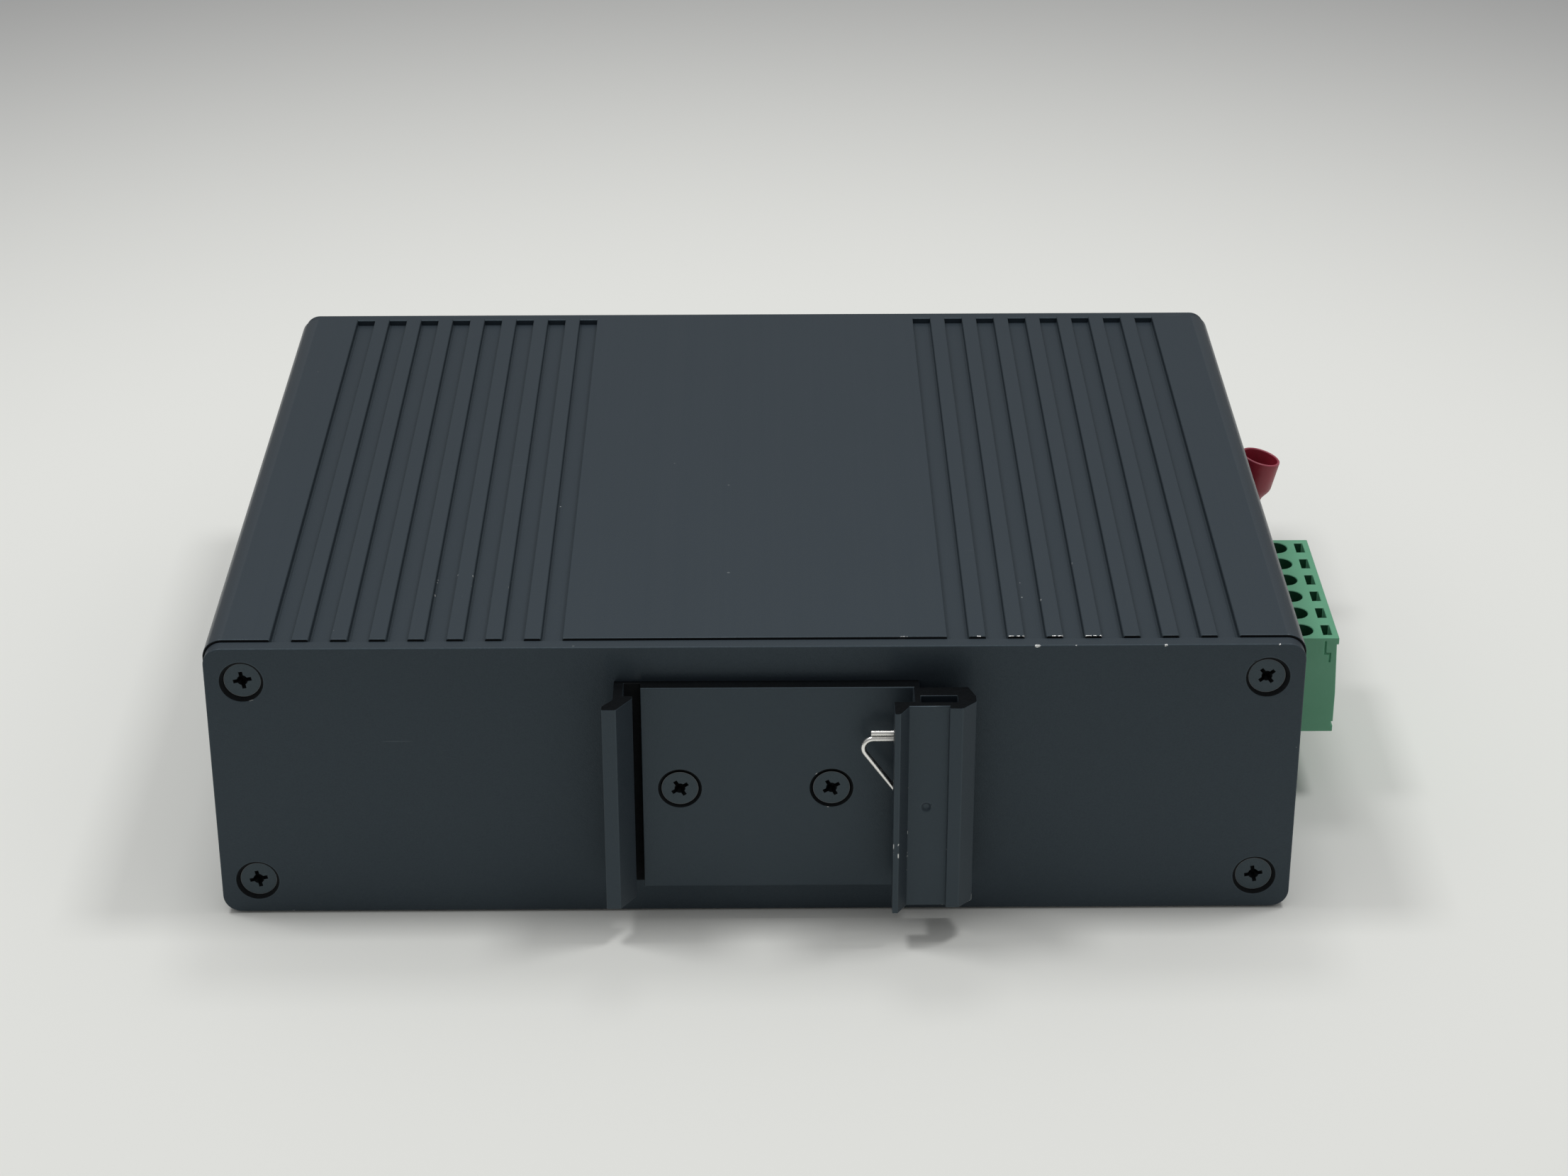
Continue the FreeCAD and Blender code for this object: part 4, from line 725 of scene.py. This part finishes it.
# A screw with its head's flat at the origin, facing +Z
def modelScrew(length):
    s = screwShape
    headHeight = s["headRadius"] - s["shankRadius"]
    deselectAll()
    bpy.ops.mesh.primitive_cylinder_add(vertices=s["sides"], radius=s["headRadius"], depth=headHeight,
                                        location=(0.0, 0.0, -headHeight / 2))
    screw = bpy.context.object
    screw.name = "screwModel"
    placeInMesh(screw)
    selectFaces(screw, lambda middle, normal: normal.z < -facing)
    narrow = s["shankRadius"] / s["headRadius"]
    bpy.ops.transform.resize(value=(narrow, narrow, 1.0))
    bpy.ops.mesh.extrude_region_move(
        TRANSFORM_OT_translate={"value": (0.0, 0.0, headHeight + s["tipChamfer"] - length)})
    bpy.ops.mesh.extrude_region_move(TRANSFORM_OT_translate={"value": (0.0, 0.0, -s["tipChamfer"])})
    tip = 1.0 - s["tipChamfer"] / s["shankRadius"]
    bpy.ops.transform.resize(value=(tip, tip, 1.0))
    bpy.ops.object.mode_set(mode="OBJECT")
    giveMaterials(screw, [blackZinc, blackZincEdgeHighlight, seamShadow])
    softenEdges(screw, s["edgeRound"], s["edgeSegments"], s["smoothAngle"], edgePlace)
    cutRecess(screw)
    workOn(screw)
    bpy.ops.mesh.customdata_custom_splitnormals_clear()
    bpy.ops.object.shade_smooth_by_angle(angle=math.radians(s["smoothAngle"]))
    evenOut(screw)
    # The recess and the faces just round it take a near-black painted shadow
    for face in screw.data.polygons:
        across = math.hypot(face.center.x, face.center.y)
        sunk = -s["recessDepth"] - s["nearRecess"] < face.center.z < -s["topSkin"]
        if sunk and across < s["recessLength"] / 2 + s["nearRecess"]:
            face.material_index = shadowPlace
    return screw


# Copies the screw to the heads of a node, each at its own turn and a little off its hole's middle
def placeScrews(nodeName):
    s = screwSets[nodeName]
    low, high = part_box(nodeName)
    model = modelScrew(s["length"])
    tilt = Matrix.Rotation(math.radians(90.0 if s["towardsBack"] else -90.0), 4, "X")
    faceY = low.y - s["raised"] if s["towardsBack"] else high.y + s["raised"]
    for number, ((x, z), (turn, offX, offZ)) in enumerate(zip(headPlaces(nodeName), s["settings"]), 1):
        middle = Matrix.Translation((x + offX * mm, faceY, z + offZ * mm))
        place = middle @ tilt @ Matrix.Rotation(math.radians(turn), 4, "Z")
        screw = copyOfModel(model, "%s%d" % (s["pieces"], number), place)
        dress(screw, "case", nodeName)
    bpy.data.objects.remove(model)


# Pieces that keep their frame shape and get softened edges

# Places in a piece's list of materials, after its faces' own at 0
edgePlace = 1
shadowPlace = 2
specialPlace = 3

# For each node its piece, its edges' width, its materials in the order of those places, and its slot
softenedPieces = {
    "case_sleeve": ("caseSleeve", 0.16 * mm, [extrudedCoat, blackCoatEdgeWearAndHighlight, seamShadow, blackCoatRound],
                    "case_coat"),
    "back_plate": ("backPlate", 0.14 * mm, [blackCoat, blackCoatEdgeWearAndHighlight, seamShadow], "case_coat"),
    "front_plate": ("frontPlate", 0.14 * mm, [blackCoat, blackCoatEdgeWearAndHighlight, seamShadow], "case_coat"),
    "rail_clip": ("railClip", 0.10 * mm, [clipCoat, clipCoatEdgeWearAndHighlight, seamShadow, paintedShadeCutEnd], "clip_coat"),
    "terminal_plug": ("terminalPlug", 0.12 * mm, [greenPlastic, greenPlastic, paintedShadeGreen], "terminal_green"),
    "terminal_header": ("terminalHeader", 0.10 * mm, [greenPlastic], "terminal_green"),
    "plug_clamp_screws": ("plugClampScrews", 0.08 * mm, [clampSteel], "clamp_steel"),
    "plug_clamp_cages": ("plugClampCages", 0.06 * mm, [clampSteel], "clamp_steel"),
    "plug_contacts": ("plugContacts", 0.04 * mm, [tinPlate], "tin_contact"),
    "header_pins": ("headerPins", 0.08 * mm, [tinPlate], "tin_contact"),
    "ground_screw": ("groundScrew", 0.15 * mm, [zincSteel], "ground_steel"),
    "ground_washer": ("groundWasher", 0.08 * mm, [zincSteel], "ground_steel"),
    "ground_lug": ("groundLug", 0.06 * mm, [tinnedCopper], "lug_tin"),
    "jack_block": ("jackBlock", 0.10 * mm, [jackPlastic], "jack_black"),
    "jack_shield": ("jackShield", 0.05 * mm, [nickelSheet], "shield_steel"),
    "module_cage_1": ("moduleCage1", 0.05 * mm, [nickelSheet], "cage_steel"),
    "module_cage_2": ("moduleCage2", 0.05 * mm, [nickelSheet], "cage_steel"),
    "module_socket_1": ("moduleSocket1", 0.08 * mm, [socketPlastic], "socket_black"),
    "module_socket_2": ("moduleSocket2", 0.08 * mm, [socketPlastic], "socket_black"),
    "lamp_holder": ("lampHolder", 0.12 * mm, [holderPlastic], "holder_black"),
    "status_lamps": ("statusLamps", 0.20 * mm, [lampLens], "lamp_clear"),
    "switch_chip": ("switchChip", 0.10 * mm, [chipPlastic], "chip_black"),
    "thermal_pad": ("thermalPad", 0.10 * mm, [padRubber], "pad_grey"),
    "heat_sink": ("heatSink", 0.12 * mm, [sinkAnodise], "sink_black"),
    "transformer_core": ("transformerCore", 0.25 * mm, [ferriteGrey], "ferrite"),
    "transformer_winding": ("transformerWinding", 0.60 * mm, [coilTape], "coil_tape"),
    "crystal": ("crystal", 0.25 * mm, [crystalCan], "crystal_can"),
    "varistors": ("varistors", 0.80 * mm, [varistorEpoxy], "varistor_blue"),
}
for number in range(1, 5):
    softenedPieces["magnetics_%d" % number] = ("magnetics%d" % number, 0.15 * mm, [chipPlastic], "chip_black")
for number in (1, 2):
    softenedPieces["power_controller_%d" % number] = (
        "powerController%d" % number, 0.10 * mm, [chipPlastic], "chip_black")
    softenedPieces["power_inductor_%d" % number] = (
        "powerInductor%d" % number, 0.30 * mm, [ferriteGrey], "ferrite")
for number in (1, 2, 3):
    softenedPieces["bulk_capacitor_%d" % number] = (
        "bulkCapacitor%d" % number, 0.15 * mm, [canSleeve], "capacitor_can")

caseShape = {
    "paintedShadeCutEndDepth": 0.05 * mm,
    "cornerRadius": 3.2 * mm,
    "cornerNormals": (0.05, 0.999),  # share of X in the normals of the round edges
    "alongNormal": 0.1,
}
plugShape = {
    "skin": 0.35 * mm,
    "wall": 1.05 * mm,
    "litDepth": 0.62 * mm,
}
clipShape = {
    "stakeX": 21.6 * mm,
    "stakeReach": 0.75 * mm,
    "stakeRise": 0.20 * mm,
    "stakeShrink": 0.42,
    "stakeFloorBehind": 2.2 * mm,
    "plateDepth": 2.0 * mm,
    "undercutX": (-16.6 * mm, -13.2 * mm),
    "undercutBehind": 0.1 * mm,
    "paintedShadeCutEndDepth": 0.3 * mm,
}


# The stake mark on the clip's box becomes a soft dimple: its floor comes out and shrinks
def softenStakeMark(clip):
    c = clipShape
    low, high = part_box("rail_clip")
    middleZ = (low.z + high.z) / 2
    selectFaces(clip, lambda middle, normal: (
        normal.y < -facing and middle.y > low.y + c["stakeFloorBehind"]
        and math.hypot(middle.x - c["stakeX"], middle.z - middleZ) < c["stakeReach"]))
    bpy.ops.transform.translate(value=(0.0, -c["stakeRise"], 0.0))
    shrink = c["stakeShrink"]
    bpy.ops.transform.resize(value=(shrink, 1.0, shrink), center_override=(c["stakeX"], 0.0, middleZ))
    bpy.ops.object.mode_set(mode="OBJECT")


# Each of the next four makes a test: from a face's middle and normal, its place in the materials, or None

# Screw seats of a plate take a near-black painted shadow
def plateFinish(screwNode):
    heads = headPlaces(screwNode)
    return lambda middle, normal: shadowPlace if isScrewSeat(middle, normal, heads) else None


# The case's cut ends take a painted shadow that shows as a dark seam, and its long round edges are smoother
# than its faces
def caseFinish():
    c = caseShape
    lowest, highest = c["cornerNormals"]

    def choose(middle, normal):
        if abs(normal.y) > facing and abs(middle.y) > caseHigh.y - c["paintedShadeCutEndDepth"]:
            return shadowPlace
        onCorner = abs(middle.x) > caseHigh.x - c["cornerRadius"] and lowest < abs(normal.x) < highest
        return specialPlace if onCorner and abs(normal.y) < c["alongNormal"] else None
    return choose


# The clip's screw seats and the undercut beside its left hook take a painted shadow, and its sawn upper end
# takes a near-black painted shade
def clipFinish():
    c = clipShape
    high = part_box("rail_clip")[1]
    undercutLeft, undercutRight = c["undercutX"]
    undercutY = high.y - c["plateDepth"] + c["undercutBehind"]
    heads = headPlaces("rail_clip_screws")

    def choose(middle, normal):
        if normal.z > facing and middle.z > high.z - c["paintedShadeCutEndDepth"]:
            return specialPlace
        undercut = undercutLeft < middle.x < undercutRight and middle.y > undercutY
        return shadowPlace if undercut or isScrewSeat(middle, normal, heads) else None
    return choose


# The plug's channels, wells and windows take a dark green painted shade below their rims
def plugFinish():
    p = plugShape
    low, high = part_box("terminal_plug")

    def choose(middle, normal):
        deep = low.z + p["skin"] < middle.z < high.z - p["litDepth"]
        within = low.y + p["skin"] < middle.y < high.y - p["skin"]
        return shadowPlace if deep and within and caseHigh.x < middle.x < high.x - p["wall"] else None
    return choose


def makeSoftenedPieces():
    choosers = {"case_sleeve": caseFinish(), "back_plate": plateFinish("back_plate_screws"),
                "front_plate": plateFinish("front_plate_screws"), "rail_clip": clipFinish(),
                "terminal_plug": plugFinish()}
    for nodeName, (pieceName, edge, materials, slotName) in softenedPieces.items():
        piece = copyOfNode(nodeName, pieceName)
        if nodeName == "rail_clip":
            softenStakeMark(piece)
        giveMaterials(piece, materials)
        softenEdges(piece, edge, edgeMaterial=edgePlace if len(materials) > 1 else -1)
        dress(piece, frame["nodes"][nodeName]["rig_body"], nodeName)
        if nodeName in choosers:
            for face in piece.data.polygons:
                chosen = choosers[nodeName](face.center, face.normal)
                if chosen is not None:
                    face.material_index = chosen
    print("softened pieces:", len(softenedPieces))


# Wire spring: its upper side doubled, its base behind the clip's wall

springShape = {
    "wireRadius": 0.35 * mm,
    "apexReach": 10.35 * mm,
    "strandPitch": 0.79 * mm,
    "height": 15.1 * mm,
    "freeEnd": 2.2 * mm,
    "baseBend": 0.8 * mm,
    "apexBend": 1.3 * mm,
    "stepsPerBend": 12,
    "bevelResolution": 6,
    "endRound": 0.07 * mm,
    "smoothAngle": 60,
}


# Points along straight runs joined by tangent arcs
def roundedRoute(corners, bends, steps):
    route = [corners[0]]
    for before, corner, after, radius in zip(corners, corners[1:], corners[2:], bends):
        back = (before - corner).normalized()
        ahead = (after - corner).normalized()
        half = back.angle(ahead) / 2
        trim = radius / math.tan(half)
        centre = corner + (back + ahead).normalized() * (radius / math.sin(half))
        first = (corner + back * trim - centre).normalized()
        last = (corner + ahead * trim - centre).normalized()
        for step in range(steps + 1):
            route.append(centre + first.slerp(last, step / steps) * radius)
    route.append(corners[-1])
    return route


def makeSpring():
    s = springShape
    low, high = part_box("rail_spring")
    wire = s["wireRadius"]
    baseX = high.x - wire
    top = high.z - wire
    bottom = top - s["height"]
    second = top - s["strandPitch"]
    apexX = baseX - s["apexReach"]
    y = (low.y + high.y) / 2
    corners = [Vector(corner) for corner in (
        (apexX + s["freeEnd"], y, top), (baseX, y, top), (baseX, y, bottom), (apexX, y, second),
        (baseX - s["freeEnd"], y, second))]
    route = roundedRoute(corners, [s["baseBend"], s["baseBend"], s["apexBend"]], s["stepsPerBend"])
    deselectAll()
    bpy.ops.curve.primitive_nurbs_path_add()
    spring = bpy.context.object
    spring.name = "railSpring"
    spring.data.splines.clear()
    spline = spring.data.splines.new("POLY")
    spline.points.add(len(route) - 1)
    for point, spot in zip(spline.points, route):
        point.co = (*spot, 1.0)
    spring.data.bevel_depth = wire
    spring.data.bevel_resolution = s["bevelResolution"]
    spring.data.use_fill_caps = True
    bpy.ops.object.convert(target="MESH")
    spring = bpy.context.object
    softenEdges(spring, s["endRound"], angle=s["smoothAngle"])
    giveMaterials(spring, [springSteel])
    dress(spring, "spring", "rail_spring")


# Red sleeve on the ring lug: a straight neck, a rounded shoulder and a wide mouth with a rolled rim

sleeveShape = {
    "lean": 14.5,
    "footOut": 3.17 * mm,
    "footUp": 4.80 * mm,
    "start": 0.9 * mm,
    "length": 9.4 * mm,
    "straight": 2.8 * mm,
    "shoulder": 2.3 * mm,
    "footInset": 0.10 * mm,
    "footHeight": 0.15 * mm,
    "neckRadius": 2.1 * mm,
    "mouthRadius": 2.99 * mm,
    "wall": 0.38 * mm,
    "rim": 0.16 * mm,
    "rimAngles": (30, 60, 90, 120, 150),
    "shoulderSteps": 12,
    "turnSteps": 72,
    "weldDistance": 0.004 * mm,
    "smoothAngle": 40.0,
}


# Radius and height of each corner of the sleeve's section, up its outside, over its rim and down its inside
def sleeveSection():
    s = sleeveShape
    outer = [(s["neckRadius"] - s["footInset"], 0.0), (s["neckRadius"], s["footHeight"])]
    for step in range(s["shoulderSteps"] + 1):
        along = step / s["shoulderSteps"]
        eased = along * along * (3.0 - 2.0 * along)
        outer.append((s["neckRadius"] + (s["mouthRadius"] - s["neckRadius"]) * eased,
                      s["straight"] + s["shoulder"] * along))
    outer.append((s["mouthRadius"], s["length"] - s["rim"]))
    inner = [(radius - s["wall"], height) for radius, height in reversed(outer)]
    halfWall = s["wall"] / 2
    rim = [(s["mouthRadius"] - halfWall + halfWall * math.cos(math.radians(angle)),
            s["length"] - s["rim"] + s["rim"] * math.sin(math.radians(angle))) for angle in s["rimAngles"]]
    return outer + rim + inner


def makeSleeve():
    s = sleeveShape
    screwLow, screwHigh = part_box("ground_screw")
    screwY = (screwLow.y + screwHigh.y) / 2
    screwZ = (screwLow.z + screwHigh.z) / 2
    section = sleeveSection()
    deselectAll()
    bpy.ops.mesh.primitive_plane_add(size=1.0)
    sleeve = bpy.context.object
    sleeve.name = "groundSleeve"
    sleeve.data.clear_geometry()
    sleeve.data.from_pydata([(radius, 0.0, height) for radius, height in section],
                            [(i, (i + 1) % len(section)) for i in range(len(section))], [])
    workOn(sleeve)
    bpy.ops.object.mode_set(mode="EDIT")
    bpy.ops.mesh.select_all(action="SELECT")
    bpy.ops.mesh.spin(steps=s["turnSteps"], angle=math.radians(360.0), center=(0.0, 0.0, 0.0),
                      axis=(0.0, 0.0, 1.0))
    bpy.ops.mesh.select_all(action="SELECT")
    bpy.ops.mesh.remove_doubles(threshold=s["weldDistance"])
    bpy.ops.mesh.normals_make_consistent(inside=False)
    bpy.ops.object.mode_set(mode="OBJECT")
    bpy.ops.object.shade_smooth_by_angle(angle=math.radians(s["smoothAngle"]))
    # The rim's faces take the lighter pink painted highlight
    for face in sleeve.data.polygons:
        if face.center.z > s["length"] - s["rim"]:
            face.material_index = edgePlace
    lean = math.radians(s["lean"])
    sleeve.rotation_euler.y = lean
    sleeve.location = (caseHigh.x + s["footOut"] + s["start"] * math.sin(lean), screwY,
                       screwZ + s["footUp"] + s["start"] * math.cos(lean))
    placeInMesh(sleeve)
    giveMaterials(sleeve, [redPlastic, redRimHighlight])
    dress(sleeve, "case", "ground_sleeve")


# Jack contacts: eight formed wires on the flat side of each mouth

contactShape = {
    "width": 0.42 * mm,
    "thickness": 0.28 * mm,
    "edgeRound": 0.05 * mm,
    "perJack": 8,
    "pitch": 1.02 * mm,
    "columns": 4,
    "columnPitch": 13.9 * mm,
    "inset": 0.2 * mm,
    "root": 0.1 * mm,
    # Each run's length in millimetres, and how far it turns up from the one before in degrees
    "runs": [(2.0, 0.0), (0.5, 8.0), (0.5, 8.0), (2.9, 0.0), (0.4, -12.0), (0.4, -14.0), (2.2, 0.0)],
}


# One wire from its root at the origin along +Y
def modelContact():
    s = contactShape
    deselectAll()
    bpy.ops.mesh.primitive_cube_add(size=1.0, location=(0.0, s["root"] / 2, 0.0))
    wire = bpy.context.object
    wire.name = "contactModel"
    wire.scale = (s["width"], s["root"], s["thickness"])
    placeInMesh(wire)
    selectFaces(wire, lambda middle, normal: normal.y > facing)
    direction = 0.0
    for length, turn in s["runs"]:
        direction += math.radians(turn)
        step = Vector((0.0, math.cos(direction), math.sin(direction))) * length * mm
        bpy.ops.mesh.extrude_region_move(TRANSFORM_OT_translate={"value": step})
    bpy.ops.object.mode_set(mode="OBJECT")
    softenEdges(wire, s["edgeRound"], segments=1)
    return wire


# The lower row's wires are turned over, so that each wire rises into its jack
def makeJackContacts():
    s = contactShape
    low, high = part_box("jack_contacts")
    model = modelContact()
    parts = []
    for z, way in ((low.z + s["inset"], -1), (high.z - s["inset"], 1)):
        for column in range(s["columns"]):
            for wire in range(s["perJack"]):
                x = low.x + s["inset"] + column * s["columnPitch"] + wire * s["pitch"]
                place = Matrix.Translation((x, low.y, z)) @ Matrix.Scale(way, 4, (0.0, 0.0, 1.0))
                parts.append(copyOfModel(model, "contactPart", place))
    bpy.data.objects.remove(model)
    deselectAll()
    for part in parts:
        part.select_set(True)
    bpy.context.view_layer.objects.active = parts[0]
    bpy.ops.object.join()
    contacts = bpy.context.object
    contacts.name = "jackContacts"
    contacts.data.name = "jackContacts"
    workOn(contacts)
    bpy.ops.object.mode_set(mode="EDIT")
    bpy.ops.mesh.select_all(action="SELECT")
    bpy.ops.mesh.normals_make_consistent(inside=False)
    bpy.ops.object.mode_set(mode="OBJECT")
    giveMaterials(contacts, [goldPlate])
    dress(contacts, "case", "jack_contacts")


# Floor, light and camera

floorLook = {
    "radius": 3.0,
    "sides": 96,
    "nearColor": (0.865, 0.872, 0.838),
    # The floor darkens away from the middle: a painted shade for the light's fall-off towards the backdrop
    "farPaintedShade": (0.350, 0.350, 0.352),
    "fade": (0.13, 0.50),  # metres from the middle
    "sockets": {"Roughness": 0.75, "Specular IOR Level": 0.25},
}
lightLook = {
    "worldLevels": (0.24, 0.50),
    "worldHeights": (0.25, 0.85),  # share of Z in the directions where the levels hold
    "lampSize": 0.14,
    "lamps": [("leftLamp", (-0.28, 0.0, 0.75), 1.3), ("rightLamp", (0.28, 0.0, 0.75), 1.3),
              ("backLamp", (0.0, 0.25, 0.70), 0.55)],
}
cameraLook = {
    "place": (1.136 * mm, -429.561 * mm, 237.076 * mm),
    "turn": (63.1265, 0.0894, -0.4344),
    "focalPixels": 4742.93,
    "frameWidth": 2212,
    "sensor": 36.0,
    "clip": (0.01, 20.0),
}


def makeFloor():
    look = floorLook
    deselectAll()
    bpy.ops.mesh.primitive_circle_add(vertices=look["sides"], radius=look["radius"], fill_type="NGON")
    floor = bpy.context.object
    floor.name = "floor"
    material, tree, shader, place = newMaterial("paleFloor", look["sockets"])
    distance = addNode(tree, "ShaderNodeVectorMath", {"operation": "LENGTH"}, {0: place}).outputs["Value"]
    start, end = look["fade"]
    fade = addNode(tree, "ShaderNodeMapRange", {"interpolation_type": "SMOOTHSTEP"}, {
        "Value": distance, "From Min": start, "From Max": end}).outputs[0]
    color = blendColors(tree, fade, look["nearColor"], look["farPaintedShade"])
    tree.links.new(color, shader.inputs["Base Color"])
    giveMaterials(floor, [material])


# The world is dimmer near the horizon than overhead
def makeLight():
    look = lightLook
    world = bpy.context.scene.world or bpy.data.worlds.new("studio")
    bpy.context.scene.world = world
    world.use_nodes = True
    tree = world.node_tree
    background = tree.nodes["Background"]
    background.inputs["Color"].default_value = (1.0, 1.0, 1.0, 1.0)
    direction = tree.nodes.new("ShaderNodeTexCoord").outputs["Generated"]
    height = addNode(tree, "ShaderNodeSeparateXYZ", None, {"Vector": direction}).outputs["Z"]
    lowLevel, highLevel = look["worldLevels"]
    lowHeight, highHeight = look["worldHeights"]
    level = addNode(tree, "ShaderNodeMapRange", {"interpolation_type": "SMOOTHSTEP"}, {
        "Value": height, "From Min": lowHeight, "From Max": highHeight, "To Min": lowLevel,
        "To Max": highLevel}).outputs[0]
    tree.links.new(level, background.inputs["Strength"])
    deselectAll()
    for name, place, power in look["lamps"]:
        bpy.ops.object.light_add(type="AREA", location=place)
        lamp = bpy.context.object
        lamp.name = name
        lamp.data.shape = "SQUARE"
        lamp.data.size = look["lampSize"]
        lamp.data.energy = power
        lamp.rotation_euler = (-Vector(place)).to_track_quat("-Z", "Y").to_euler()


def makeCamera():
    look = cameraLook
    bpy.ops.object.camera_add(location=look["place"], rotation=[math.radians(turn) for turn in look["turn"]])
    camera = bpy.context.object
    camera.name = "photoCamera"
    camera.data.sensor_width = look["sensor"]
    camera.data.lens = look["focalPixels"] * look["sensor"] / look["frameWidth"]
    camera.data.clip_start, camera.data.clip_end = look["clip"]
    bpy.context.scene.camera = camera


makeCamera()
makeLight()
makeFloor()
bpy.context.scene.view_settings.view_transform = "Standard"
print("camera, light and floor made")

makeSoftenedPieces()
for screwNode in screwSets:
    placeScrews(screwNode)
print("screws placed:", sum(len(screwSet["settings"]) for screwSet in screwSets.values()))
makeSpring()
makeSleeve()
makeJackContacts()
print("spring, sleeve and contacts made")

# The board's shape is right as it stands, and takes a finish of its own
for boardSlot in frame["nodes"]["main_board"].material_slots:
    boardSlot.material = boardLaminate
print("board finished")
